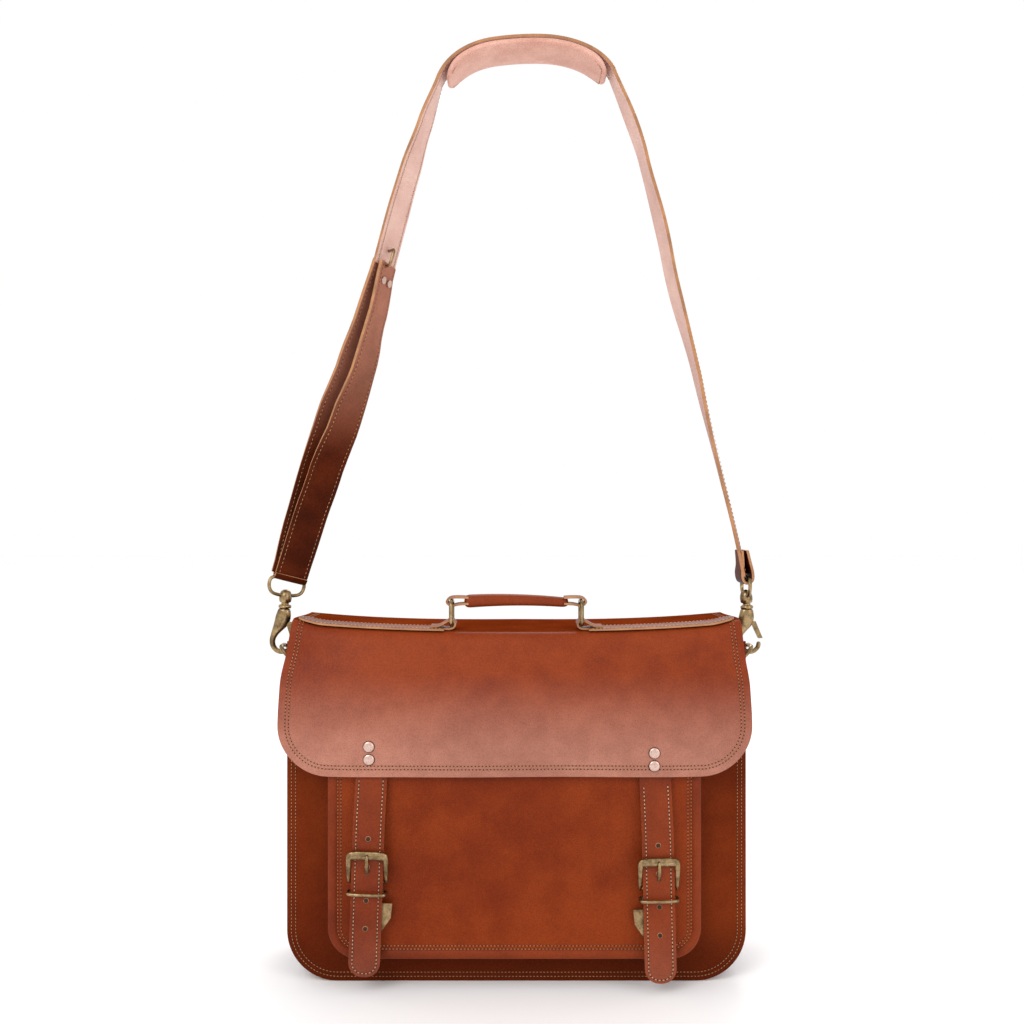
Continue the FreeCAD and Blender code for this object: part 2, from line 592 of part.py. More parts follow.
# ---- handle -------------------------------------------------------------------------------------------
def handle():
    high = LOW_AXIS + " + handle_ring_high"
    for place, side in (("left", -1), ("right", 1)):
        wire_loop("handle_ring_" + place, "handle_ring_depth/2", "handle_ring_high/2", "4", "handle_wire",
                  (side * size("handle_span/2"), -size("handle_set"), size(LOW_AXIS + " + handle_ring_high/2")),
                  (0, 0, 1), 90)
    core = body_of("handle_grip")
    pad(core, "YZ", "-grip_span/2", "grip_span", circles=[("-handle_set", high, "grip_size/2")])
    keep(core)
    for place, side in (("left", -1), ("right", 1)):
        end = body_of("handle_end_loop_" + place)
        hub = ("%d*handle_span/2" % side, high)
        pad(end, "XZ", "handle_set - 7.5", "15",
            circles=[hub + ("handle_wire/2 + loop_thick",), hub + ("handle_wire/2 + 0.25",)])
        pad(end, "XZ", "handle_set - 7.5", "15",
            [("%d*grip_span/2" % side, high + " - 2", None),
             ("%d*(handle_span/2 - handle_wire/2 - 1)" % side, high + " - 2", None),
             ("%d*(handle_span/2 - handle_wire/2 - 1)" % side, high + " + 2", None),
             ("%d*grip_span/2" % side, high + " + 2", None)])
        END_LOOPS.append(end)


main_compartment()
front_pocket()
flap()
flap_rivets()
closing_strap("left", "strap_left", 0, size("strap_lean"))
closing_strap("right", "strap_right", size("strap_drop"), -size("strap_lean") / 1.5)
side_fitting("left", -1)
side_fitting("right", 1)
group("tab_rivets", TAB_RIVETS)
together("clasp_magnets", MAGNETS)
together("handle_base_loops", BASE_LOOPS)
shoulder_strap()
handle()
together("handle_end_loops", END_LOOPS)

# ---- check and write ----------------------------------------------------------------------------------
DOC.recompute()
for thing in DOC.Objects:
    if "Invalid" in thing.State or "Error" in thing.State:
        raise RuntimeError("%s is %s" % (thing.Name, thing.State))
for node in NODES:
    if node.Shape.isNull() or not node.Shape.isValid() or node.Shape.Volume <= 0:
        raise RuntimeError(node.Label + " has no valid solid")
os.makedirs("parts", exist_ok=True)
for node in NODES:
    node.Shape.exportStep("parts/" + node.Label + ".step")
    box = node.Shape.BoundBox
    print("%-24s %8.1f %8.1f %8.1f %8.1f %8.1f %8.1f  vol %.0f" % (
        node.Label, box.XMin, box.XMax, box.YMin, box.YMax, box.ZMin, box.ZMax, node.Shape.Volume))
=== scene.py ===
import math

import bmesh
import bpy
from bpy.props import FloatProperty, FloatVectorProperty, IntProperty, PointerProperty
from mathutils import Matrix, Vector
from mathutils.geometry import interpolate_bezier


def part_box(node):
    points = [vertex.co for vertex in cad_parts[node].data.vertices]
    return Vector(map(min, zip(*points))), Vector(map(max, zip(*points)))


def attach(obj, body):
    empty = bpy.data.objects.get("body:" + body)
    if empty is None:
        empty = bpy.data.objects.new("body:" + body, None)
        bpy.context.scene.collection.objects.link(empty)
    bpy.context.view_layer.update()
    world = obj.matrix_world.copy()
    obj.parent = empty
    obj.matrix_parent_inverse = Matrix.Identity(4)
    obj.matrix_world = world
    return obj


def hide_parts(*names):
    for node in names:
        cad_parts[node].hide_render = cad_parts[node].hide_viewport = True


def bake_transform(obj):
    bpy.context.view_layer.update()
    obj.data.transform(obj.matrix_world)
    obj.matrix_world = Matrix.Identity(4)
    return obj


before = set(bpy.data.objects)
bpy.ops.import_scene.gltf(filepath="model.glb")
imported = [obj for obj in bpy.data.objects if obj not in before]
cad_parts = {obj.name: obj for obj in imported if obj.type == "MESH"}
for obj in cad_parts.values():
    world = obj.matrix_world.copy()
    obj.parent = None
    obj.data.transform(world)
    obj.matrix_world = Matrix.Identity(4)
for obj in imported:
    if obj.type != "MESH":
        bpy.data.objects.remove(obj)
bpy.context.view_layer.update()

bl_info = {
    "name": "Leather Satchel",
    "version": (1, 0, 0),
    "blender": (4, 5, 0),
    "location": "View3D > Sidebar > Satchel",
    "description": "Leather, stitching, lining and hardware of a satchel bag on its fixed frame",
    "category": "Object",
}

MM = 0.001
BODY_THICK = 2.4 * MM
FLAP_THICK = 3 * MM
SLING_WIDTH, SLING_THICK = 29 * MM, 3 * MM
LEVEL_FACE = 0.93  # upward part of the normal from which the flap counts as its top
BOXES = {}  # corners of the nodes that were measured


def box_of(node):
    """Lowest and highest corners of a CAD node, measured once."""
    if node not in BOXES:
        BOXES[node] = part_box(node)
    return BOXES[node][0].copy(), BOXES[node][1].copy()


# ---- sizes and colours that a user would change ---------------------------------------------------------
class SATCHEL_PG_leather(bpy.types.PropertyGroup):
    grain_size: FloatProperty(name="Grain size", description="Width of one pebble of the grain",
                              default=0.0011, unit="LENGTH")
    grain_depth: FloatProperty(name="Grain depth", description="How deep the creases of the grain look",
                               default=0.22, min=0.0, max=1.0, subtype="FACTOR")
    tan: FloatVectorProperty(name="Tan", description="Middle tone of the smooth leather",
                             default=(0.235, 0.036, 0.0062), size=3, subtype="COLOR")
    deep: FloatVectorProperty(name="Deep tan", description="Darker tone of the mottling",
                              default=(0.150, 0.019, 0.0035), size=3, subtype="COLOR")
    edge: FloatVectorProperty(name="Cut edge", description="Raw light edge of the leather",
                              default=(0.480, 0.215, 0.085), size=3, subtype="COLOR")
    lining: FloatVectorProperty(name="Lining", description="Cloth inside the bag",
                                default=(0.300, 0.210, 0.130), size=3, subtype="COLOR")


class SATCHEL_PG_sewing(bpy.types.PropertyGroup):
    pitch: FloatProperty(name="Stitch pitch", description="From one stitch to the next", default=0.0029,
                         unit="LENGTH")
    thread: FloatProperty(name="Thread", description="Thickness of the sewing thread", default=0.0007,
                          unit="LENGTH")
    inset: FloatProperty(name="First row", description="From the cut edge to the first row of stitches",
                         default=0.0042, unit="LENGTH")
    row_gap: FloatProperty(name="Row gap", description="From the first row to the second", default=0.0048,
                           unit="LENGTH")
    colour: FloatVectorProperty(name="Thread colour", description="Waxed thread of the bag's own seams",
                                default=(0.460, 0.200, 0.075), size=3, subtype="COLOR")
    light: FloatVectorProperty(name="Strap thread", description="Paler thread along the straps",
                               default=(0.640, 0.420, 0.240), size=3, subtype="COLOR")


class SATCHEL_PG_metal(bpy.types.PropertyGroup):
    brass: FloatVectorProperty(name="Brass", description="Rubbed high places of the antique brass",
                               default=(0.400, 0.275, 0.140), size=3, subtype="COLOR")
    patina: FloatVectorProperty(name="Patina", description="Dark recesses of the antique brass",
                                default=(0.130, 0.085, 0.042), size=3, subtype="COLOR")
    nickel: FloatVectorProperty(name="Nickel", description="Caps of the rivets", default=(0.66, 0.46, 0.39),
                                size=3, subtype="COLOR")


class SATCHEL_PG_shape(bpy.types.PropertyGroup):
    top_sag: FloatProperty(name="Top sag", description="How much the top droops between its corners",
                           default=0.0075, unit="LENGTH")
    panel_crown: FloatProperty(name="Panel crown", description="How far the panels swell at their middle",
                               default=0.0035, unit="LENGTH")
    side_pinch: FloatProperty(name="Side pinch", description="How far the gusset draws in at mid-depth",
                              default=0.009, unit="LENGTH")
    detail: IntProperty(name="Detail", description="Spans across a panel", default=72, min=24, max=160)


def leather():
    return bpy.context.scene.satchel_leather


def sewing():
    return bpy.context.scene.satchel_sewing


def metal():
    return bpy.context.scene.satchel_metal


def shape():
    return bpy.context.scene.satchel_shape


# ---- shader maths -----------------------------------------------------------------------------------------
class Value:
    """A number socket that Python's arithmetic adds Math nodes to."""

    def __init__(self, paint, socket):
        self.paint = paint
        self.socket = socket

    def maths(self, operation, *others):
        inputs = {0: self}
        for index, other in enumerate(others, start=1):
            inputs[index] = other
        return self.paint.node("ShaderNodeMath", {"operation": operation}, inputs)

    def __add__(self, other):
        return self.maths("ADD", other)

    def __radd__(self, other):
        return self.maths("ADD", other)

    def __sub__(self, other):
        return self.maths("SUBTRACT", other)

    def __rsub__(self, other):
        flipped = self.maths("MULTIPLY", -1.0)
        return flipped.maths("ADD", other)

    def __mul__(self, other):
        return self.maths("MULTIPLY", other)

    def __rmul__(self, other):
        return self.maths("MULTIPLY", other)

    def between(self, low, high):
        """0 below LOW, 1 above HIGH."""
        return self.paint.node("ShaderNodeMapRange", {"interpolation_type": "SMOOTHSTEP"},
                               {"Value": self, "From Min": low, "From Max": high})


class Paint:
    """One material and the nodes in it."""

    def __init__(self, name):
        self.material = bpy.data.materials.new(name)
        self.material.use_nodes = True
        self.tree = self.material.node_tree
        self.surface = self.tree.nodes["Principled BSDF"]
        where = self.tree.nodes.new("ShaderNodeTexCoord")
        self.object = Value(self, where.outputs["Object"])

    def node(self, kind, settings, inputs, output=0):
        made = self.tree.nodes.new(kind)
        for key, setting in settings.items():
            setattr(made, key, setting)
        for key, given in inputs.items():
            if isinstance(given, Value):
                self.tree.links.new(given.socket, made.inputs[key])
            else:
                made.inputs[key].default_value = given
        return Value(self, made.outputs[output])

    def noise(self, scale, detail=3.0, rough=0.5, stretch=None):
        place = self.object
        if stretch:
            place = self.node("ShaderNodeMapping", {}, {"Vector": place, "Scale": stretch})
        return self.node("ShaderNodeTexNoise", {}, {"Vector": place, "Scale": scale, "Detail": detail,
                                                    "Roughness": rough}, "Fac")

    def height(self):
        """Height above the base, in metres."""
        return self.node("ShaderNodeSeparateXYZ", {}, {"Vector": self.object}, "Z")

    def cells(self, size):
        return self.node("ShaderNodeTexVoronoi", {}, {"Vector": self.object, "Scale": 1.0 / size}, "Distance")

    def mix(self, share, low, high):
        made = self.tree.nodes.new("ShaderNodeMix")
        made.data_type = "RGBA"
        for socket, given in ((made.inputs[0], share), (made.inputs[6], low), (made.inputs[7], high)):
            if isinstance(given, Value):
                self.tree.links.new(given.socket, socket)
            elif isinstance(given, float):
                socket.default_value = given
            else:
                socket.default_value = (*given, 1.0)
        return Value(self, made.outputs[2])

    def bump(self, height, strength, distance, under=None):
        inputs = {"Height": height, "Strength": strength, "Distance": distance}
        if under:
            inputs["Normal"] = under
        return self.node("ShaderNodeBump", {}, inputs)

    def set(self, **sockets):
        for key, given in sockets.items():
            socket = self.surface.inputs[key.replace("_", " ")]
            if isinstance(given, Value):
                self.tree.links.new(given.socket, socket)
            else:
                socket.default_value = given
        return self.material


def tinted(colour, factor):
    return tuple(min(1.0, channel * factor) for channel in colour)


def leather_paint(name, light, deep, grain=1.0, rough=0.40, coat=0.02, painted_light=None, shine=0.12):
    """Vegetable-tanned leather: mottled dye, fine pebble grain, soft creases and a waxed top.

    The painted-light argument, when given, is (height where it starts, height where it is full, amount,
    colour): a pale colour paints a highlight, a dark one paints shade."""
    paint = Paint(name)
    look = leather()
    mottle = paint.noise(7.0, 4.0, 0.5)
    cloud = paint.noise(42.0, 3.0, 0.6)
    creases = paint.cells(look.grain_size).between(0.05, 0.62)
    fine = paint.noise(2600.0, 2.0, 0.6)
    share = (mottle * 0.66 + cloud * 0.34).between(0.34, 0.62)
    dye_and_painted_light = paint.mix(share, deep, light)
    # painted light: the given colour, pale for a painted highlight and dark for painted shade, mixed into the
    # dye by height
    if painted_light:
        start, full, amount, colour = painted_light
        height = paint.height().between(min(start, full), max(start, full))
        rising = height if full > start else 1 - height
        patchy = (cloud * 0.5 + mottle * 0.7).between(0.35, 0.85)
        dye_and_painted_light = paint.mix(rising * (patchy * 0.40 + 0.60) * amount, dye_and_painted_light, colour)
    speck = (1 - creases) * 0.30 + fine * 0.10
    grain_dye_and_painted_light = paint.mix(speck, dye_and_painted_light, tinted(deep, 0.55))
    grain_dye_and_painted_light = paint.mix((creases * fine).between(0.42, 0.75) * 0.30, grain_dye_and_painted_light, tinted(light, 1.7))
    folds = paint.noise(24.0, 5.0, 0.6, (1.0, 1.0, 2.6))
    pull = paint.bump(folds, 0.20, 0.0022)
    pebble = paint.bump(creases * 0.8 + fine * 0.25, look.grain_depth * grain, 0.00034, pull)
    roughness = (rough - 0.05) + cloud * 0.14 + fine * 0.08
    return paint.set(Base_Color=grain_dye_and_painted_light, Roughness=roughness, Normal=pebble, Coat_Weight=coat,
                     Coat_Roughness=0.30, Specular_IOR_Level=shine)


def edge_paint():
    """Cut edge: the light core of the hide with darker layers and a little burnish."""
    paint = Paint("cut_edge")
    look = leather()
    fibre = paint.noise(900.0, 4.0, 0.7, (1.0, 1.0, 3.0))
    blotch = paint.noise(60.0, 3.0, 0.6)
    colour = paint.mix((fibre * 0.6 + blotch * 0.4).between(0.38, 0.62), tinted(look.edge, 0.5), look.edge)
    return paint.set(Base_Color=colour, Roughness=fibre * 0.3 + 0.45, Normal=paint.bump(fibre, 0.5, 0.0004))


def suede_paint():
    """Flesh side of the leather, napped and paler."""
    paint = Paint("flesh_side")
    look = leather()
    nap = paint.noise(1400.0, 5.0, 0.7)
    cloud = paint.noise(30.0, 3.0, 0.6)
    colour = paint.mix((nap * 0.5 + cloud * 0.5).between(0.35, 0.65), tinted(look.edge, 0.42),
                       tinted(look.edge, 0.75))
    return paint.set(Base_Color=colour, Roughness=0.92, Normal=paint.bump(nap, 0.6, 0.0006), Sheen_Weight=0.3)


def cloth_paint():
    """Plain-woven cotton of the lining."""
    paint = Paint("lining_cloth")
    colour = leather().lining
    warp, weft = (paint.node("ShaderNodeTexWave", {"bands_direction": axis},
                             {"Vector": paint.object, "Scale": 420.0}, "Fac") for axis in "XZ")
    weave = warp * weft
    slub = paint.noise(300.0, 3.0, 0.6)
    tone = paint.mix((weave * 0.6 + slub * 0.4).between(0.2, 0.8), tinted(colour, 0.6), tinted(colour, 1.15))
    return paint.set(Base_Color=tone, Roughness=0.9, Normal=paint.bump(weave, 0.5, 0.0004), Sheen_Weight=0.2)


def board_paint():
    """Flecked fibre board."""
    paint = Paint("fibre_board")
    fleck = paint.noise(700.0, 4.0, 0.7)
    colour = paint.mix(fleck.between(0.4, 0.6), (0.035, 0.028, 0.022), (0.085, 0.070, 0.055))
    return paint.set(Base_Color=colour, Roughness=0.85, Normal=paint.bump(fleck, 0.3, 0.0003))


def thread_paint(name, colour):
    """Twisted waxed thread."""
    paint = Paint(name)
    ply = paint.noise(2200.0, 2.0, 0.5)
    soil = paint.noise(45.0, 3.0, 0.6)
    tone = paint.mix((ply * 0.5 + soil * 0.5).between(0.35, 0.65), tinted(colour, 0.55), tinted(colour, 1.15))
    return paint.set(Base_Color=tone, Roughness=0.62, Normal=paint.bump(ply, 0.5, 0.0002))


def dark_shade_paint():
    """Painted shade inside holes and round the rivets: near black, with a fibrous noise."""
    paint = Paint("hole_shade")
    fibre = paint.noise(1500.0, 2.0, 0.5)
    colour = paint.mix(fibre, (0.020, 0.007, 0.003), (0.060, 0.020, 0.008))
    return paint.set(Base_Color=colour, Roughness=0.95)


def brass_paint():
    """Antique brass: rubbed bright on its high places, browned in its hollows."""
    paint = Paint("antique_brass")
    look = metal()
    pits = paint.noise(520.0, 4.0, 0.6)
    cloud = paint.noise(120.0, 3.0, 0.55)
    rubbed = (pits * 0.35 + cloud * 0.65).between(0.33, 0.66)
    colour = paint.mix(rubbed, look.patina, look.brass)
    scratches = paint.noise(1300.0, 2.0, 0.6, (0.25, 1.0, 1.0))
    roughness = (1.0 - rubbed) * 0.16 + scratches * 0.10 + 0.22
    return paint.set(Base_Color=colour, Metallic=1.0, Roughness=roughness,
                     Normal=paint.bump(pits + scratches * 0.3, 0.10, 0.0002))


def nickel_paint():
    """Scuffed cap of a rivet."""
    paint = Paint("nickel")
    scuffs = paint.noise(900.0, 3.0, 0.6)
    colour = paint.mix(scuffs.between(0.4, 0.7), metal().nickel, tinted(metal().nickel, 0.7))
    return paint.set(Base_Color=colour, Metallic=1.0, Roughness=scuffs * 0.15 + 0.28,
                     Normal=paint.bump(scuffs, 0.1, 0.0002))


def shade(factor, deeper=1.0):
    """The tan and the deep tan, both lighter or darker."""
    return tinted(leather().tan, factor), tinted(leather().deep, factor * deeper)


PAINTED_SHEEN = (0.62, 0.33, 0.25)  # pale colour of a painted sheen, light reflected off the leather
PAINTS = {
    # body leather: darker towards the bottom, painted shade under the pocket and along the base
    "leather": lambda: leather_paint("smooth_leather_painted_shade", *shade(0.70),
                                     painted_light=(0.060, 0.012, 0.8, (0.050, 0.006, 0.001)), shine=0.02),
    "pocket": lambda: leather_paint("pocket_leather", *shade(1.0), shine=0.06),
    # flap leather: a pale painted highlight over its lower part, which tilts up towards the light
    "flap": lambda: leather_paint("flap_leather", *shade(1.06), 1.5, painted_light=(0.262, 0.180, 0.62, PAINTED_SHEEN)),
    "orange": lambda: leather_paint("seam_leather", *shade(0.92, 0.9), 0.8),
    # closing-strap leather: a little pale painted sheen below 7 cm
    "strap": lambda: leather_paint("strap_leather", *shade(0.92, 0.95), 0.9, 0.36, 0.05,
                                   painted_light=(0.07, 0.0, 0.12, PAINTED_SHEEN)),
    # shoulder-strap leather: a lighter copy for its lit runs, with pale painted glare above 34 cm
    "sling": lambda: leather_paint("sling_leather_painted_glare", *shade(1.25, 1.25), 0.9, 0.36, 0.05,
                                   painted_light=(0.34, 0.60, 1.0, (0.80, 0.56, 0.48))),
    # darker copy of the shoulder-strap leather for its lower runs: painted shade, paling upward above 43 cm
    # into painted light
    "sling_low": lambda: leather_paint("sling_low_leather", *shade(0.42, 0.55), 0.7, 0.40, 0.02,
                                       painted_light=(0.43, 0.56, 1.0, (0.48, 0.20, 0.13)), shine=0.03),
    # pad leather: a pale pink colour, the tan of the leather with painted glare mixed in
    "pad": lambda: leather_paint("pad_leather", (0.72, 0.42, 0.34), (0.50, 0.22, 0.16), 0.7, 0.40, 0.05),
    # unglossy paint for the faces of the flap that point up, darker than the flap: painted shade
    "top": lambda: leather_paint("top_leather_painted_shade", *shade(0.85), 0.8, 0.7, 0.0, shine=0.0),
    "edge": edge_paint, "suede": suede_paint, "cloth": cloth_paint, "board": board_paint,
    "thread": lambda: thread_paint("thread", sewing().colour),
    "light_thread": lambda: thread_paint("strap_thread", sewing().light),
    "hole": dark_shade_paint, "brass": brass_paint, "nickel": nickel_paint,
}


HIDE = ("strap", "edge", "suede")  # outer face, cut edge and flesh side
BODY_HIDE = ("leather", "edge", "suede")
# paints of the lower strap runs, with the darker copy of the strap leather that is painted shade
SLING_PAINTED_SHADE = ("sling_low", "edge", "suede")


def paint_of(key):
    """Material of one paint, made when it is first asked for."""
    made = bpy.data.materials.get("satchel_" + key)
    if made is None:
        made = PAINTS[key]()
        made.name = "satchel_" + key
    return made


# ---- mesh work --------------------------------------------------------------------------------------------
def finish_piece(name, work, body, paints, replaces=()):
    """Turn a bmesh into a piece that rides on BODY."""
    mesh = bpy.data.meshes.new(name)
    work.to_mesh(mesh)
    work.free()
    for key in paints:
        mesh.materials.append(paint_of(key))
    piece = bpy.data.objects.new(name, mesh)
    bpy.context.collection.objects.link(piece)
    mesh.shade_smooth()
    if body:
        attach(piece, body)
    if replaces:
        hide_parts(*replaces)
    return piece


def cloth_grid(across, along, place):
    """A grid whose corner (0, 0) to (1, 1) goes where PLACE says."""
    work = bmesh.new()
    bmesh.ops.create_grid(work, x_segments=across, y_segments=along, size=0.5)
    for vert in work.verts:
        vert.co = place(vert.co.x + 0.5, vert.co.y + 0.5)
    return work


def thicken(piece, thickness, offset=-1.0, rim=1, inner=0, edge=0.5 * MM):
    """Give a sheet its thickness; RIM and INNER are the paints of its cut edge and its inner side."""
    wall = piece.modifiers.new("wall", "SOLIDIFY")
    wall.thickness = thickness
    wall.offset = offset
    wall.material_offset_rim = rim
    wall.material_offset = inner
    wall.use_even_offset = True
    if edge:
        soften(piece, edge)


def soften(piece, width, angle=40.0):
    """Round the edges that are sharper than ANGLE."""
    bevel = piece.modifiers.new("edge", "BEVEL")
    bevel.width = width
    bevel.segments = 2
    bevel.limit_method = "ANGLE"
    bevel.angle_limit = math.radians(angle)
    bevel.harden_normals = True


def round_off(piece, levels=1):
    rounded = piece.modifiers.new("round", "SUBSURF")
    rounded.levels = rounded.render_levels = levels


def brass_wire(name, work, body, levels, replaces=()):
    """A rounded piece of antique brass."""
    round_off(finish_piece(name, work, body, ["brass"], replaces), levels)


def bake_modifiers(piece):
    """Apply the modifiers, so that the mesh is final."""
    graph = bpy.context.evaluated_depsgraph_get()
    made = bpy.data.meshes.new_from_object(piece.evaluated_get(graph), depsgraph=graph)
    piece.modifiers.clear()
    piece.data = made


def flip(piece):
    """Turn every face over."""
    work = bmesh.new()
    work.from_mesh(piece.data)
    bmesh.ops.reverse_faces(work, faces=work.faces)
    work.to_mesh(piece.data)
    work.free()


def face_away(piece, centre):
    """Turn an open strip's faces away from the line through CENTRE along Y."""
    away = 0.0
    for face in piece.data.polygons:
        spot = face.center - centre
        away += face.normal.dot(Vector((spot.x, 0, spot.z)).normalized())
    if away < 0:
        flip(piece)


class Panel:
    """A piece of leather cut with straight sides and round lower corners, laid on a surface."""

    def __init__(self, half, length, radius, surface, top_half=None):
        self.half = half
        self.length = length
        self.radius = radius
        self.surface = surface
        self.top_half = top_half if top_half is not None else half
        self.widen = (0.0, length * 0.45)

    def side(self, down):
        """Half width at a distance down from the top."""
        full = self.top_half + (self.half - self.top_half) * ease(down, *self.widen)
        start = self.length - self.radius
        if down <= start:
            return full
        drop = min(down - start, self.radius)
        return full - self.radius + math.sqrt(max(self.radius ** 2 - drop ** 2, 0.0))

    def work(self, across, along):
        def place(u, v):
            down = self.length * (1 - (1 - v) ** 1.6)
            return self.surface((2 * u - 1) * self.side(down), down)
        work = cloth_grid(across, along, place)
        bmesh.ops.reverse_faces(work, faces=work.faces)
        return work

    def border(self, inset, start=0.0):
        """Flat points of the line that keeps INSET from the cut edge, down one side and up the other."""
        turn = max(self.radius - inset, 0.5 * MM)
        half = self.half - inset
        low = self.length - inset
        points = []
        for step in range(40):
            down = start + (low - turn - start) * step / 40
            points.append((-(self.side(down) - inset), down))
        for step in range(25):
            angle = math.pi / 2 * step / 24
            points.append((-(half - turn) - turn * math.cos(angle), low - turn + turn * math.sin(angle)))
        flat = half - turn
        bottom = [(-flat + 2 * flat * step / 60, low) for step in range(1, 60)]
        return points + bottom + [(-x, down) for x, down in reversed(points)]

    def lift(self, flat):
        """Points and outward normals of a flat line on the surface."""
        found = []
        for x, down in flat:
            here = self.surface(x, down)
            right = self.surface(x + 0.5 * MM, down) - here
            lower = self.surface(x, down + 0.5 * MM) - here
            found.append((here, lower.cross(right).normalized()))
        return found


def sew(name, rows, body, pitch=None, out=0.3 * MM, size=1.0, thread="thread"):
    """Rows of stitches, each a small stretched ball over two needle holes."""
    step = pitch or sewing().pitch
    thick = sewing().thread * size
    work = bmesh.new()
    batch = bmesh.new()
    store = bpy.data.meshes.new("stitches")

    def collect():
        batch.to_mesh(store)
        work.from_mesh(store)
        batch.clear()

    for row in rows:
        travelled = 0.0
        target = step / 2
        for (start, normal), (end, _) in zip(row, row[1:]):
            run = (end - start).length
            while run > 1e-9 and travelled + run >= target:
                spot = start.lerp(end, (target - travelled) / run)
                along = (end - start).normalized()
                side = normal.cross(along).normalized()
                turn = Matrix((along, side, normal)).transposed().to_4x4()
                place = Matrix.Translation(spot + normal * out) @ turn
                stitch = Matrix.Diagonal((step * 0.66, thick, thick * 0.8, 1.0))
                bmesh.ops.create_icosphere(batch, subdivisions=1, radius=0.5, matrix=place @ stitch)
                base = Matrix.Translation(spot + along * step / 2 + normal * out * 0.35) @ turn
                # a dark disc of painted shade where the needle hole is
                dot = bmesh.ops.create_circle(batch, cap_ends=True, segments=6, radius=thick * 0.85,
                                              matrix=base)
                for face in dot["verts"][0].link_faces:
                    face.material_index = 1
                target += step
                if len(batch.verts) > 700:
                    collect()
            travelled += run
    collect()
    batch.free()
    bpy.data.meshes.remove(store)
    return finish_piece(name, work, body, [thread, "hole"])


def ring_at(work, centre, along, wide, half_wide, half_thick, segments=16, power=1.0):
    """A loop of vertices round CENTRE, WIDE being its longer direction."""
    along = along.normalized()
    flat = along.cross(wide).normalized()
    wide = flat.cross(along).normalized()
    turn = Matrix((wide, flat, along)).transposed().to_4x4()
    made = bmesh.ops.create_circle(work, cap_ends=False, segments=segments, radius=1.0)
    loop = made["verts"]
    for vert in loop:
        x = math.copysign(abs(vert.co.x) ** power, vert.co.x) * half_wide
        y = math.copysign(abs(vert.co.y) ** power, vert.co.y) * half_thick
        vert.co = centre + (turn @ Vector((x, y, 0.0, 0.0))).to_3d()
    return loop


def tube(stations, segments=16, power=1.0, closed=False):
    """Bridge loops along stations of (centre, wide direction, half width, half thickness)."""
    work = bmesh.new()
    count = len(stations)
    loops = []
    for index, (centre, wide, half_wide, half_thick) in enumerate(stations):
        before = stations[index - 1] if index or closed else stations[0]
        after = stations[(index + 1) % count] if index + 1 < count or closed else stations[-1]
        along = after[0] - before[0]
        loops.append(ring_at(work, centre, along, wide, half_wide, half_thick, segments, power))
    pairs = list(zip(loops, loops[1:]))
    if closed:
        pairs.append((loops[-1], loops[0]))
    for first, second in pairs:
        edges = {edge for vert in first + second for edge in vert.link_edges
                 if edge.other_vert(vert) in first + second}
        edges = [edge for edge in edges
                 if all(v in first for v in edge.verts) or all(v in second for v in edge.verts)]
        bmesh.ops.bridge_loops(work, edges=edges)
    if not closed:
        for loop in (loops[0], loops[-1]):
            bmesh.ops.contextual_create(work, geom=loop)
    bmesh.ops.recalc_face_normals(work, faces=work.faces)
    return work


def curve_points(knots, count):
    """Points of a chain of Bezier spans; each knot is (point, handle vector)."""
    points = []
    for (start, out), (end, into) in zip(knots, knots[1:]):
        span = interpolate_bezier(start, start + out, end - into, end, count)
        points += span if not points else span[1:]
    return points


def side_line(rows, count):
    """Smooth line in the plane X = 0; each row is (y, z, y of its handle, z of its handle)."""
    knots = [(Vector((0, y, z)), Vector((0, out_y, out_z))) for y, z, out_y, out_z in rows]
    return Line(curve_points(knots, count))


def ribbon(name, spots, wides, width, thick, replaces, paints):
    """Flat strap through points, with the direction of its width at each; gives its rows of stitches."""
    def place(u, v):
        at = v * (len(spots) - 1)
        index = min(int(at), len(spots) - 2)
        share = at - index
        centre = spots[index].lerp(spots[index + 1], share)
        wide = wides[index].lerp(wides[index + 1], share).normalized()
        along = (spots[index + 1] - spots[index]).normalized()
        flat = wide.cross(along).normalized()
        across = 2 * u - 1
        return centre + wide * (across * width / 2) + flat * thick * (0.5 - 0.075 * across ** 4)
    work = cloth_grid(10, (len(spots) - 1) * 2, place)
    piece = finish_piece(name, work, "shoulder_strap", paints, replaces)
    thicken(piece, thick, -1.0, 1, 0)
    rows = []
    for edge in (-1, 1):
        row = []
        for step in range(len(spots) * 3):
            v = step / (len(spots) * 3 - 1)
            here = place((1 + edge * (1 - 2 * 3.2 * MM / width)) / 2, v)
            right = place(0.55, v) - place(0.45, v)
            ahead = place(0.5, min(v + 0.01, 1.0)) - place(0.5, max(v - 0.01, 0.0))
            row.append((here, right.cross(ahead).normalized()))
        rows.append(row)
    return rows


# ---- lines and surfaces that several pieces share ---------------------------------------------------------
def ease(value, low, high):
    """0 below LOW, 1 above HIGH and smooth between them."""
    share = max(0.0, min(1.0, (value - low) / (high - low)))
    return share * share * (3 - 2 * share)


class Line:
    """A smooth line that is asked for the point at a distance along it."""

    def __init__(self, points):
        self.points = points
        self.marks = [0.0]
        for first, second in zip(points, points[1:]):
            self.marks.append(self.marks[-1] + (second - first).length)
        self.length = self.marks[-1]

    def at(self, distance):
        low, high = 0, len(self.marks) - 1
        while high - low > 1:
            middle = (low + high) // 2
            if self.marks[middle] <= distance:
                low = middle
            else:
                high = middle
        share = (distance - self.marks[low]) / (self.marks[high] - self.marks[low])
        return self.points[low].lerp(self.points[high], share)


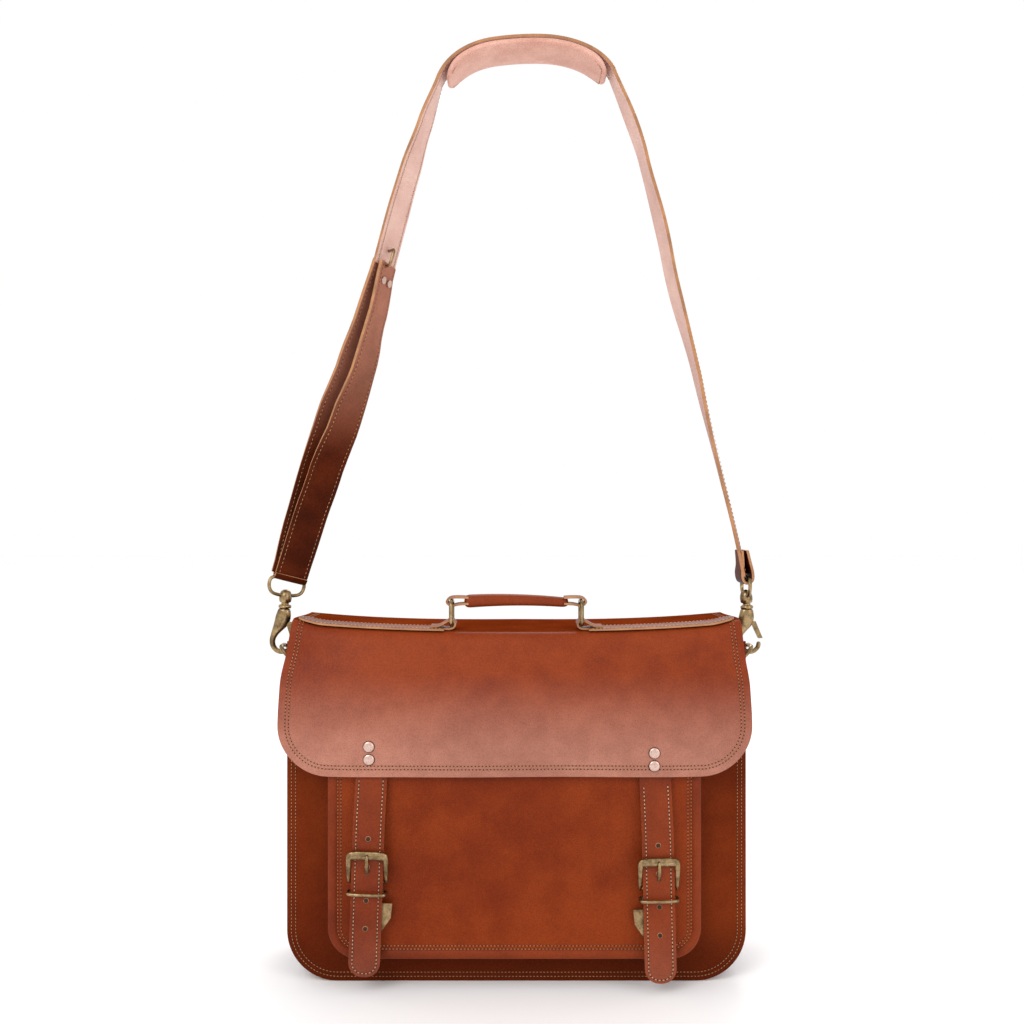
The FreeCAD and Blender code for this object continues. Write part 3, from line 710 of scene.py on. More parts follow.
def flap_line():
    """Profile of the flap's outer face from its rear edge to its lower edge, in the plane X = 0."""
    low, high = box_of("flap_front")
    rear = box_of("flap_top")[1]
    front = Vector((0.0, low.y, low.z))
    knee = low.z + 53 * MM
    fold = high.z
    knots = [
        (Vector((0, rear.y, fold)), Vector((0, -20 * MM, 0))),
        (Vector((0, -36 * MM, fold)), Vector((0, -7 * MM, 0))),
        (Vector((0, -50 * MM, fold - 8 * MM)), Vector((0, -2.2 * MM, -6 * MM))),
        (Vector((0, front.y + 1.5 * MM, knee)), Vector((0, -5 * MM, -17 * MM))),
        (front + Vector((0, 0, 1.8 * MM)), Vector((0, 0.5 * MM, -16 * MM))),
    ]
    return Line(curve_points(knots, 28))


def top_height(x, y):
    """How far the top of the bag stands off its flat plane: it sags between its corners."""
    half = box_of("flap_top")[1].x
    share = min(1.0, abs(x) / half)
    rear = ease(y, -50 * MM, 45 * MM)
    return (shape().top_sag * (share ** 2.6) - 0.6 * MM + (1.8 - 1.2 * share) * MM * rear
            + 3.2 * MM * ease(share, 0.86, 1.0) * (1 - rear))


def flap_point(line, x, down):
    """Outer face of the flap."""
    spot = line.at(max(0.0, min(line.length, down)))
    low, high = box_of("flap_front")
    flat = 1.0 - ease(spot.z, high.z - 26 * MM, high.z)
    lift = top_height(x, spot.y) * (1 - flat)
    corner = ease(abs(x), 120 * MM, 192 * MM) * flat
    swell = 2.2 * MM * math.cos(min(1.0, abs(x) / (190 * MM)) * math.pi / 2) * ease(down, 95 * MM, 150 * MM)
    ripple = (0.9 * math.sin(x * 21 + 0.7) + 0.6 * math.sin(x * 47 + down * 30)) * MM * flat
    fall = ease(spot.z, low.z, low.z + 60 * MM)
    aside = corner * 5 * MM * (1 - 0.6 * fall) - swell * 0.6 + ripple
    return Vector((x, spot.y + aside, spot.z + lift))


def body_outline():
    """Half width, height and lower corner radius of the body."""
    high = box_of("front_panel")[1]
    return high.x, high.z, 42 * MM


def u_path(half, high, radius, low=0.0, steps=40):
    """Points and outward normals down the left side, along the bottom and up the right side."""
    left = []
    for step in range(steps):
        left.append((Vector((-half, 0, high + (low + radius - high) * step / steps)), Vector((-1, 0, 0))))
    for step in range(17):
        angle = math.pi / 2 * step / 16
        normal = Vector((-math.cos(angle), 0, -math.sin(angle)))
        left.append((Vector((-half + radius, 0, low + radius)) + normal * radius, normal))
    for step in range(1, steps + 1):
        left.append((Vector(((-half + radius) * (1 - step / steps), 0, low)), Vector((0, 0, -1))))
    right = [(Vector((-spot.x, 0, spot.z)), Vector((-normal.x, 0, normal.z)))
             for spot, normal in reversed(left[:-1])]
    return left + right


def u_sheet(path, across, place):
    """A strip along a path; PLACE moves the point at share U of its width."""
    def point(u, v):
        at = v * (len(path) - 1)
        index = min(int(at), len(path) - 2)
        share = at - index
        spot = path[index][0].lerp(path[index + 1][0], share)
        normal = path[index][1].lerp(path[index + 1][1], share).normalized()
        return place(spot, normal, u)
    return cloth_grid(across, len(path) - 1, point)


# ---- pieces ------------------------------------------------------------------------------------------------
class SATCHEL_OT_flap(bpy.types.Operator):
    """Flap: the top and the front in one piece of leather, with two rows of stitches round its edge"""
    bl_idname = "satchel.flap"
    bl_label = "Flap"

    def execute(self, context):
        line = flap_line()
        low, high = box_of("flap_front")
        middle = (low.x + high.x) / 2
        top_half = box_of("flap_top")[1].x

        def surface(x, down):
            return flap_point(line, x + middle * ease(down, 90 * MM, 130 * MM), down)

        panel = Panel((high.x - low.x) / 2, line.length, 41 * MM, surface, top_half)
        panel.widen = (88 * MM, 140 * MM)
        work = panel.work(shape().detail * 2, shape().detail)
        piece = finish_piece("flap", work, None, ["flap", "edge", "suede", "top"],
                             ["flap_top", "flap_front"])
        thicken(piece, FLAP_THICK, -1.0, 1, 2)
        bake_modifiers(piece)
        for face in piece.data.polygons:
            if face.material_index == 0 and face.normal.z > LEVEL_FACE:
                face.material_index = 3  # "top", the paint without a sheen, darker than the flap: painted shade on the faces that point up
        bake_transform(piece)
        rows = [panel.lift(panel.border(inset, 3 * MM)) for inset in (6.2 * MM, 9.0 * MM)]
        seams = sew("flap_stitches", rows, None)
        caps = bmesh.new()
        caps_low, caps_high = box_of("flap_rivets")
        radius = 4.5 * MM
        for x, z in ((caps_low.x + radius, caps_high.z - radius),
                     (caps_high.x - radius, caps_low.z + radius)):
            for step in (0, 1):
                level = z - 10.5 * MM * step if x < 0 else z + 10.5 * MM * step
                down = line.length - (level - low.z - 1.8 * MM)
                rivet_cap(caps, surface(x, down), Vector((0, -1, 0)), radius)
        finish_piece("flap_caps", caps, "flap_front", ["nickel", "hole"], ["flap_rivets"])
        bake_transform(seams)
        return {"FINISHED"}


class SATCHEL_OT_back(bpy.types.Operator):
    """Back panel, turned over the top edge and sewn under the flap"""
    bl_idname = "satchel.back"
    bl_label = "Back panel"

    def execute(self, context):
        half, _, radius = body_outline()
        rear = box_of("back_panel")[1]
        top = box_of("flap_top")[1].z
        knots = [(Vector((0, 30 * MM, top - 3.4 * MM)), Vector((0, 5 * MM, 0))),
                 (Vector((0, rear.y - 2 * MM, top - 5 * MM)), Vector((0, 3 * MM, -2 * MM))),
                 (Vector((0, rear.y, rear.z - 22 * MM)), Vector((0, 0, -30 * MM))),
                 (Vector((0, rear.y, 0)), Vector((0, 0, -40 * MM)))]
        line = Line(curve_points(knots, 24))

        def surface(x, down):
            spot = line.at(max(0.0, min(line.length, down)))
            share = abs(x) / half
            down_share = max(0.0, min(1.0, (rear.z - spot.z) / rear.z))
            across = math.cos(min(1.0, share) * math.pi / 2)
            crown = shape().panel_crown * across * math.sin(down_share * math.pi)
            lift = top_height(x, spot.y) * ease(spot.z, rear.z - 20 * MM, top - 4 * MM)
            return Vector((x, spot.y + crown, spot.z + lift))

        panel = Panel(half, line.length, radius, surface, half - 4.5 * MM)
        panel.widen = (0, 60 * MM)
        piece = finish_piece("back", panel.work(shape().detail, shape().detail), None,
                             BODY_HIDE, ["back_panel"])
        flip(piece)
        thicken(piece, BODY_THICK, -1.0, 1, 2)
        bake_modifiers(piece)
        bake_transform(piece)
        rows = [[(spot, -normal) for spot, normal in panel.lift(panel.border(inset, 40 * MM))]
                for inset in (sewing().inset, sewing().inset + sewing().row_gap)]
        sew("back_stitches", rows, "bag")
        return {"FINISHED"}


class SATCHEL_OT_front(bpy.types.Operator):
    """Front panel of the body and the strip that joins it to the back"""
    bl_idname = "satchel.front"
    bl_label = "Front panel and gusset"

    def execute(self, context):
        half, high, radius = body_outline()
        low, top = box_of("front_panel")

        def surface(x, down):
            share = min(1.0, abs(x) / half)
            depth = down / high
            crown = shape().panel_crown * math.cos(share * math.pi / 2) * math.sin(min(1.0, depth) * math.pi)
            return Vector((x, low.y - crown, top.z - down))

        panel = Panel(half, top.z - low.z, radius, surface)
        piece = finish_piece("front", panel.work(shape().detail, shape().detail), "bag",
                             BODY_HIDE, ["front_panel"])
        thicken(piece, BODY_THICK, -1.0, 1, 2)
        rows = [panel.lift(panel.border(inset, 2 * MM)) for inset in (3.7 * MM, 7.2 * MM)]
        sew("front_stitches", rows, "bag")
        box_low, box_high = box_of("gusset_strip")
        path = u_path(half, box_high.z, radius)

        def place(spot, normal, u):
            tall = ease(spot.z, 20 * MM, 90 * MM) * (1 - ease(spot.z, 150 * MM, 215 * MM))
            pinch = shape().side_pinch * (0.12 + 0.88 * tall) * math.sin(u * math.pi) ** 1.3
            pinch += 0.8 * MM * math.sin(spot.z * 60 + u * 5) * tall
            y = box_high.y + (box_low.y - box_high.y) * u
            return Vector((0, y, 0)) + spot - normal * max(pinch, 0.15 * MM)

        strip = finish_piece("gusset", u_sheet(path, 20, place), "bag", BODY_HIDE,
                             ["gusset_strip"])
        face_away(strip, Vector((0, 0, 150 * MM)))
        thicken(strip, BODY_THICK, -1.0, 1, 2)
        return {"FINISHED"}


class SATCHEL_OT_pocket(bpy.types.Operator):
    """Front pocket: a raised panel with its own side wall"""
    bl_idname = "satchel.pocket"
    bl_label = "Front pocket"

    def execute(self, context):
        low, high = box_of("front_pocket_panel")
        middle = (low.x + high.x) / 2
        half = (high.x - low.x) / 2
        length = high.z - low.z

        def surface(x, down):
            share = min(1.0, abs(x) / half)
            across, tall = math.cos(share * math.pi / 2), math.sin(min(1.0, down / length) * math.pi)
            crown = 3.0 * MM * across ** 0.7 * tall ** 0.7
            return Vector((x + middle, low.y - crown * 0.55 + 0.4 * MM, high.z - down))

        panel = Panel(half, length, 25 * MM, surface)
        piece = finish_piece("pocket", panel.work(shape().detail, shape().detail), "bag",
                             ["pocket", "edge", "suede"], ["front_pocket_panel"])
        thicken(piece, BODY_THICK, -1.0, 1, 2)
        border = Panel(half - 3.4 * MM, length - 3.4 * MM, 21.6 * MM, surface)
        middle_line = border.lift(border.border(0.0, 2 * MM))

        def welt(u, v):
            at = v * (len(middle_line) - 1)
            index = min(int(at), len(middle_line) - 2)
            spot = middle_line[index][0].lerp(middle_line[index + 1][0], at - index)
            normal = middle_line[index][1].lerp(middle_line[index + 1][1], at - index).normalized()
            along = (middle_line[index + 1][0] - middle_line[index][0]).normalized()
            aside = normal.cross(along).normalized()
            across = 2 * u - 1
            return spot + aside * (across * 3.5 * MM) + normal * (0.2 + 1.3 * (1 - abs(across) ** 2.4)) * MM

        trim = finish_piece("pocket_welt", cloth_grid(8, 260, welt), "bag", ["orange"])
        if sum(face.normal.y for face in trim.data.polygons) > 0:
            flip(trim)
        rows = [panel.lift(panel.border(inset, 2 * MM)) for inset in (8.0 * MM, 10.6 * MM)]
        sew("pocket_stitches", rows, "bag")
        wall_low, wall_high = box_of("front_pocket_gusset")
        path = u_path((wall_high.x - wall_low.x) / 2, wall_high.z, 23 * MM, wall_low.z)

        def place(spot, normal, u):
            bulge = 1.6 * MM * math.sin(u * math.pi)
            y = wall_high.y + (wall_low.y - wall_high.y) * u
            return Vector((middle, y, 0)) + spot + normal * (bulge - 0.4 * MM)

        wall = finish_piece("pocket_wall", u_sheet(path, 8, place), "bag", BODY_HIDE,
                            ["front_pocket_gusset"])
        face_away(wall, Vector((middle, -55 * MM, 120 * MM)))
        thicken(wall, 2 * MM, -1.0, 1, 2)
        return {"FINISHED"}


def spin_profile(work, points, centre, axis):
    """Turn a line of points once round an axis."""
    verts = [work.verts.new(point) for point in points]
    edges = [work.edges.new(pair) for pair in zip(verts, verts[1:])]
    bmesh.ops.spin(work, geom=verts + edges, cent=centre, axis=axis, angle=2 * math.pi, steps=28,
                   use_merge=True, use_duplicate=False)


def rivet_cap(work, spot, normal, radius):
    """A low dome on a dark rim of painted shade."""
    turn = normal.to_track_quat("Z", "Y").to_matrix().to_4x4()
    place = Matrix.Translation(spot) @ turn
    rim = bmesh.ops.create_cone(work, cap_ends=True, segments=28, radius1=radius * 1.10,
                                radius2=radius * 1.04, depth=1.0 * MM, matrix=place)
    # the rim takes the second paint, near-black painted shade round the dome
    for face in {face for vert in rim["verts"] for face in vert.link_faces}:
        face.material_index = 1
    profile = [(0.96, 0.0), (0.97, 0.9), (0.90, 1.25), (0.66, 1.55), (0.34, 1.72), (0.0, 1.78)]
    spin_profile(work, [place @ Vector((radius * x, 0, z * MM)) for x, z in profile], spot, normal)
    near = [vert for vert in work.verts if (vert.co - spot).length < radius * 1.3]
    bmesh.ops.remove_doubles(work, verts=near, dist=0.02 * MM)
    near = [face for face in work.faces if (face.calc_center_median() - spot).length < radius * 1.3]
    bmesh.ops.recalc_face_normals(work, faces=near)


class StrapFrame:
    """Place of one closing strap: its own axes start where it leaves the flap."""

    def __init__(self, place):
        root_low, root_high = box_of("strap_root_" + place)
        low, high = box_of("closing_strap_" + place)
        root = (root_low + root_high) / 2
        middle = (low + high) / 2
        self.lean = math.atan2(root.x - middle.x, root.z - middle.z) * 1.05
        self.half = 12.7 * MM
        base_z = high.z + 1 * MM - abs(self.half * math.sin(self.lean))
        base_x = root.x - math.tan(self.lean) * (root.z - base_z)
        self.base = Vector((base_x, box_of("front_pocket_panel")[0].y, base_z))
        self.turn = Matrix.Rotation(self.lean, 3, "Y")
        self.reach = (high.z - low.z) + 1 * MM

    def at(self, x, y, z):
        """World point of local millimetres."""
        return self.base + self.turn @ (Vector((x, y, z)) * MM)


class SATCHEL_OT_closing_straps(bpy.types.Operator):
    """Closing straps with rounded ends, their punched holes and edge stitching"""
    bl_idname = "satchel.closing_straps"
    bl_label = "Closing straps"

    def execute(self, context):
        for place in ("left", "right"):
            own = StrapFrame(place)
            line = side_line([(-3.9, 33, 0, -8), (-3.9, 6, 0, -6), (-11.2, -30, -2, -9), (-11.9, -60, 0, -8),
                              (-11.4, -92, 0, -12), (-11.0, -158, 0.5, -12)], 14)

            def surface(x, down):
                spot = line.at(max(0.0, min(line.length, down / MM)))
                bow = 0.5 * (1 - (x / own.half) ** 2)
                return own.at(x / MM, spot.y - bow, spot.z)

            panel = Panel(own.half, line.length * MM, 11.6 * MM, surface)
            work = panel.work(12, 90)
            piece = finish_piece("closing_strap_leather_" + place, work, None, HIDE,
                                 ["strap_root_" + place, "closing_strap_" + place])
            thicken(piece, 3.0 * MM, -1.0, 1, 2, 0.6 * MM)
            bake_modifiers(piece)
            start, end = own.at(0, -4, 3), own.at(0, -4, -4)
            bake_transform(piece)
            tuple(start)
            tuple(end)
            row = panel.lift(panel.border(3.0 * MM, 34 * MM))
            seam = sew("strap_stitches_" + place, [row], None, 3.1 * MM, 0.45 * MM, 1.1, "light_thread")
            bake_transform(seam)
            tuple(start)
            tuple(end)
            holes = bmesh.new()
            for drop in (46.6, 69.4, 96.4, 119.0):
                level = min(line.points, key=lambda found: abs(found.z + drop))
                spot = own.at(0, level.y - 0.55, -drop)
                face = Matrix.Translation(spot) @ own.turn.to_4x4() @ Matrix.Rotation(math.pi / 2, 4, "X")
                # each punched hole is a dark disc of painted shade, ringed by a lip of cut edge
                bmesh.ops.create_cone(holes, cap_ends=True, segments=20, radius1=1.75 * MM, radius2=1.75 * MM,
                                      depth=0.7 * MM, matrix=face)
                lip = bmesh.ops.create_cone(holes, cap_ends=False, segments=20, radius1=2.5 * MM,
                                            radius2=1.8 * MM, depth=0.75 * MM, matrix=face)
                for piece_face in {f for vert in lip["verts"] for f in vert.link_faces}:
                    piece_face.material_index = 1
            finish_piece("strap_holes_" + place, holes, "closing_strap_" + place, ["hole", "edge"])
            around = side_line([(-8.2, -122, 0, 12), (-8.2, -86, 0, 3), (-5.4, -80.2, 2.0, 0),
                                (-2.7, -84, 0, -3), (-4.2, -97, 0, -3)], 10)

            def tab(u, v):
                spot = around.at(v * around.length)
                return own.at((2 * u - 1) * 11.4, spot.y, spot.z)

            hanger = finish_piece("hanger_tab_" + place, cloth_grid(6, 50, tab), "closing_strap_" + place,
                                  HIDE, ["chape_" + place])
            thicken(hanger, 1.4 * MM, 0.0, 1, 2, 0.2 * MM)
        return {"FINISHED"}


class SATCHEL_OT_buckles(bpy.types.Operator):
    """Roller buckles: a bowed frame with flat tapering sides, its roller and its prong"""
    bl_idname = "satchel.buckles"
    bl_label = "Buckles"

    def execute(self, context):
        for place in ("left", "right"):
            own = StrapFrame(place)
            side = [(14.9, -5.2, -85.0, 1.2), (15.0, -8.6, -79.5, 1.5), (15.0, -11.6, -73, 1.8),
                    (15.0, -13.8, -66, 2.05), (14.9, -15.0, -61.2, 2.3), (14.3, -15.4, -59.0, 2.4),
                    (12.2, -15.4, -58.3, 2.1), (10.2, -15.4, -58.2, 1.75), (9.8, -15.4, -58.2, 2.3),
                    (4.0, -15.4, -58.2, 2.3)]
            whole = [(-x, y, z, half) for x, y, z, half in side] + side[::-1]
            stations = [(own.at(x, y, z), own.turn @ Vector((1, 0, 0)) if abs(x) > 14 else Vector((0, 0, 1)),
                         half * MM, min(half, 1.7) * MM) for x, y, z, half in whole]
            brass_wire("buckle_" + place, tube(stations, 14, 0.75), "closing_strap_" + place, 1,
                       ["buckle_frame_" + place])
            bar = [(own.at(x, -5.4, -83), Vector((0, 0, 1)), 1.2 * MM, 1.2 * MM) for x in (-15, -5, 5, 15)]
            brass_wire("buckle_heel_" + place, tube(bar, 12), "closing_strap_" + place, 1)
            prong = [(own.at(0, y, z), Vector((1, 0, 0)), wide * MM, tall * MM) for y, z, wide, tall in
                     ((-5.4, -83, 2.0, 1.6), (-10.8, -76, 1.7, 1.3), (-14.8, -70, 1.6, 1.25),
                      (-17.6, -65.5, 1.5, 1.2), (-18.7, -61.5, 1.35, 1.1), (-18.2, -58.2, 1.1, 0.9))]
            brass_wire("prong_finger_" + place, tube(prong, 12), "prong_" + place, 1,
                       ["buckle_prong_" + place])
            middle = -91.0
            corners = [(-15.6, -4.9), (-15.6, -13.4), (-13.6, -15.6), (0, -15.9), (13.6, -15.6),
                       (15.6, -13.4), (15.6, -4.9), (13.6, -4.6), (0, -4.6), (-13.6, -4.6)]
            upright = own.turn @ Vector((0, 0, 1))
            wire = [(own.at(x, y, middle), upright, 1.35 * MM, 1.2 * MM) for x, y in corners]
            brass_wire("keeper_wire_" + place, tube(wire, 10, 1.0, True), "keeper_" + place, 2,
                       ["keeper_" + place])
        return {"FINISHED"}


def leather_loop(name, points, width, middle_y, thick, body, replaces=()):
    """A band of leather that goes round a bar; POINTS are (x, z) in millimetres."""
    knots = [Vector((x, 0, z)) * MM for x, z in points]
    smooth = []
    for index, knot in enumerate(knots):
        before = knots[max(index - 1, 0)]
        after = knots[min(index + 1, len(knots) - 1)]
        smooth.append((knot, (after - before) / 6))
    line = Line(curve_points(smooth, 8))

    def place(u, v):
        spot = line.at(v * line.length)
        return Vector((spot.x, middle_y + (u - 0.5) * width, spot.z))

    piece = finish_piece(name, cloth_grid(8, len(points) * 6, place), body, HIDE, replaces)
    thicken(piece, thick, 0.0, 1, 0, 0.35 * MM)


class SATCHEL_OT_handle(bpy.types.Operator):
    """Top handle: a rolled grip on two rings, and the strips that hold the rings to the flap"""
    bl_idname = "satchel.handle"
    bl_label = "Handle"

    def execute(self, context):
        low, high = box_of("handle_grip")
        y = (low.y + high.y) / 2
        top = (low.z + high.z) / 2
        reach = high.x

        def middle(share, aside=0.0, up=0.0):
            """Point of the grip's bowed middle line; SHARE runs from -1 to 1."""
            bow = (1 - share * share) * 1.8 * MM - 0.7 * MM - share * 0.5 * MM
            return Vector((share * reach, y + aside, top + bow + up))

        stations = []
        for step in range(25):
            share = step / 12 - 1
            full = 1.0 - 0.16 * share - 0.25 * max(0.0, abs(share) - 0.93) / 0.07
            stations.append((middle(share), Vector((0, 1, 0)), 6.4 * MM * full, 4.9 * MM * full))
        grip = finish_piece("grip_roll", tube(stations, 20, 0.82), "grip", ["strap"],
                            ["handle_grip"])
        round_off(grip)
        row = []
        for step in range(60):
            share = (step / 59 * 2 - 1) * 0.95
            row.append((middle(share, -2.6 * MM, 4.5 * MM * (1 - 0.16 * share)),
                        Vector((0, -0.45, 0.9)).normalized()))
        sew("grip_stitches", [row], "grip", 3.0 * MM, 0.1 * MM, 0.8)
        ring_low, ring_high = box_of("handle_ring_right")
        pivot = (ring_low.x + ring_high.x) / 2 / MM
        high_bar, low_bar = ring_high.z / MM - 1.7, ring_low.z / MM + 1.7
        for side, place in ((-1, "left"), (1, "right")):
            end = [(40, high_bar + 3.2), (47, high_bar + 3.7), (pivot + 0.6, high_bar + 3.2),
                   (pivot + 3.7, high_bar), (pivot + 0.4, high_bar - 3.3), (48, high_bar - 2.2),
                   (40, high_bar - 1.8)]
            leather_loop("grip_loop_" + place, [(side * x, z) for x, z in end], 14 * MM, y, 2.0 * MM, "grip",
                         ["handle_end_loops"] if side < 0 else [])
            base = [(72, low_bar - 3.6), (63, low_bar - 3.6), (pivot, low_bar - 3.35),
                    (pivot - 3.3, low_bar - 0.6), (pivot - 2.0, low_bar + 2.8), (pivot + 1.6, low_bar + 3.4),
                    (pivot + 5.5, low_bar + 1.5), (pivot + 11, low_bar - 1.4), (72, low_bar - 1.6)]
            leather_loop("base_loop_" + place, [(side * x, z) for x, z in base], 19 * MM, y, 1.7 * MM,
                         "flap_top", ["handle_base_loops"] if side < 0 else [])
            strip_low, strip_high = box_of("handle_base_" + place)
            inner = min(abs(strip_low.x), abs(strip_high.x))
            outer = max(abs(strip_low.x), abs(strip_high.x)) + 4 * MM

            def surface(x, down):
                along = inner + down
                level = strip_low.z + top_height(along, y + x) + 1.6 * MM
                return Vector((side * along, y + x - 1.5 * MM, level))

            strip = Panel(13 * MM, outer - inner, 9 * MM, surface)
            piece = finish_piece("base_strip_" + place, strip.work(12, 60), "flap_top",
                                 HIDE, ["handle_base_" + place])
            upward(piece)
            thicken(piece, 1.6 * MM, -1.0, 1, 2, 0.4 * MM)
            row = [(spot, Vector((0, 0, 1))) for spot, _ in strip.lift(strip.border(2.8 * MM, 2 * MM))]
            sew("base_stitches_" + place, [row], "flap_top", 3.2 * MM, 0.3 * MM, 1.0, "light_thread")
        return {"FINISHED"}


def upward(piece):
    """Turn an open sheet's faces up."""
    if sum(face.normal.z for face in piece.data.polygons) < 0:
        flip(piece)


def lie(along, twist):
    """Direction of a strap's width; a twist of 0 lays it along Y."""
    face = along.cross(Vector((0, 1, 0))).normalized()
    turn = math.radians(twist)
    wide = Vector((0, 1, 0)) * math.cos(turn) + face * math.sin(turn)
    return wide, along.cross(wide).normalized()


def strap_piece(name, spots, turns, raised, sideways, replaces, paints=("sling", "edge", "suede")):
    """A long strap through SPOTS, twisted, RAISED along its face and pushed SIDEWAYS along X."""
    count = len(spots)
    centres, wides = [], []
    for index, spot in enumerate(spots):
        along = (spots[min(index + 1, count - 1)] - spots[max(index - 1, 0)]).normalized()
        wide, flat = lie(along, turns[index])
        centres.append(spot + flat * raised[index] + Vector((sideways[index], 0, 0)))
        wides.append(wide)
    rows = ribbon(name, centres, wides, SLING_WIDTH, SLING_THICK, replaces, paints)
    sew(name + "_stitches", rows, "shoulder_strap", 3.8 * MM, 0.45 * MM, 0.9)


def spread(values, count):
    """COUNT numbers that pass smoothly through VALUES."""
    knots = [(Vector((index, value, 0)), Vector((1 / 3, 0, 0))) for index, value in enumerate(values)]
    line = curve_points(knots, 20)
    found = []
    for step in range(count):
        x = step / (count - 1) * (len(values) - 1)
        found.append(min(line, key=lambda spot: abs(spot.x - x)).y)
    return found


class SATCHEL_OT_shoulder_strap(bpy.types.Operator):
    """Shoulder strap: one layer on the right, and on the left a folded run held by a slider"""
    bl_idname = "satchel.shoulder_strap"
    bl_label = "Shoulder strap"

    def execute(self, context):
        ring_low, ring_high = box_of("swivel_ring_left")
        slider_low, slider_high = box_of("strap_slider")
        upper_high = box_of("strap_upper_left")[1]
        low = Vector(((ring_low.x + ring_high.x) / 2 + 3.6 * MM, 0, ring_high.z - 1.3 * MM))
        slide = (slider_low + slider_high) / 2
        slide.y = 0
        pad_low = box_of("strap_under_pad")[0]
        left_top = Vector((pad_low.x + 1 * MM, 0, upper_high.z + 2 * MM))
        steps = 26
        along = (left_top - slide).normalized()
        upper = [(slide - along * 7 * MM).lerp(left_top, step / steps) for step in range(steps + 1)]
        bend = [2.2 * MM * math.sin(step / steps * math.pi) for step in range(steps + 1)]
        upper = [spot + Vector((-offset, 0, 0)) for spot, offset in zip(upper, bend)]
        level = [0] * (steps + 1)
        strap_piece("strap_upper", upper, spread([-30, -30, -26, -14, 0], steps + 1), level, level,
                    ["strap_upper_left"])
        fold = [low.lerp(slide - along * 4 * MM, step / steps) for step in range(steps + 1)]
        turns = spread([-64, -70, -70, -54, -34, -22, -18], steps + 1)
        front_rise = [-value * MM for value in spread([1.9, 3.6, 4.6, 5.4, 5.2, 4.6, 3.4], steps + 1)]
        back_rise = [-value for value in front_rise]
        front_shift = [value * MM for value in spread([0, 0.5, 2.2, 4.6, 5.4, 3.0, 0], steps + 1)]
        back_shift = [value * MM for value in spread([-2.5, -4.5, -5.0, -3.6, -0.5, 0.5, 0], steps + 1)]
        # the lower layers and turns of the strap take the darker strap paint, which is painted shade
        strap_piece("strap_front_layer", fold, turns, front_rise, front_shift,
                    ["strap_fold_front"], SLING_PAINTED_SHADE)
        strap_piece("strap_back_layer", fold, turns, back_rise, back_shift,
                    ["strap_fold_back"], SLING_PAINTED_SHADE)
        wide, flat = lie((fold[1] - fold[0]).normalized(), turns[0])
        arc = []
        for step in range(13):
            angle = math.pi * step / 12
            arc.append(low + flat * (math.cos(angle) * 3.6 * MM) - along * (math.sin(angle) * 4.2 * MM))
        ribbon("strap_turn", arc, [wide] * 13, SLING_WIDTH, SLING_THICK, [], SLING_PAINTED_SHADE)
        right_low, right_high = box_of("strap_right")
        ring_low, ring_high = box_of("swivel_ring_right")
        start = Vector(((ring_low.x + ring_high.x) / 2 - 1.4 * MM, 0, ring_high.z + 1.6 * MM))
        end = Vector((right_low.x + 1 * MM, 0, right_high.z))
        rise = end.z - start.z
        knots = [(start, Vector((-8 * MM, 0, rise * 0.1))),
                 (Vector((160 * MM, 0, start.z + rise * 0.37)), Vector((-9 * MM, 0, rise * 0.1))),
                 (Vector((132 * MM, 0, start.z + rise * 0.63)), Vector((-6 * MM, 0, rise * 0.08))),
                 (Vector((111 * MM, 0, start.z + rise * 0.83)), Vector((-5 * MM, 0, rise * 0.05))),
                 (end, Vector((-9 * MM, 0, rise * 0.05)))]
        points = curve_points(knots, 12)
        count = len(points)
        level = [0] * count
        strap_piece("strap_single", points, spread([-12, -9, 0, 8, 9, 4, 6, 0], count), level, level,
                    ["strap_right"])
        loop = [start + Vector((x, 0, z)) * MM for x, z in
                ((-4.6, 22), (-3.8, 10), (-4.6, 2), (-3.2, -4.6), (0.8, -6.2), (4.6, -3.4), (4.8, 3),
                 (2.6, 12), (0.2, 22))]
        knots = [(spot, (loop[min(index + 1, len(loop) - 1)] - loop[max(index - 1, 0)]) / 6)
                 for index, spot in enumerate(loop)]
        turned = curve_points(knots, 6)
        ribbon("strap_right_turn", turned, [Vector((0, 1, 0))] * len(turned), SLING_WIDTH - 1 * MM, 2.4 * MM,
               [], SLING_PAINTED_SHADE)
        return {"FINISHED"}


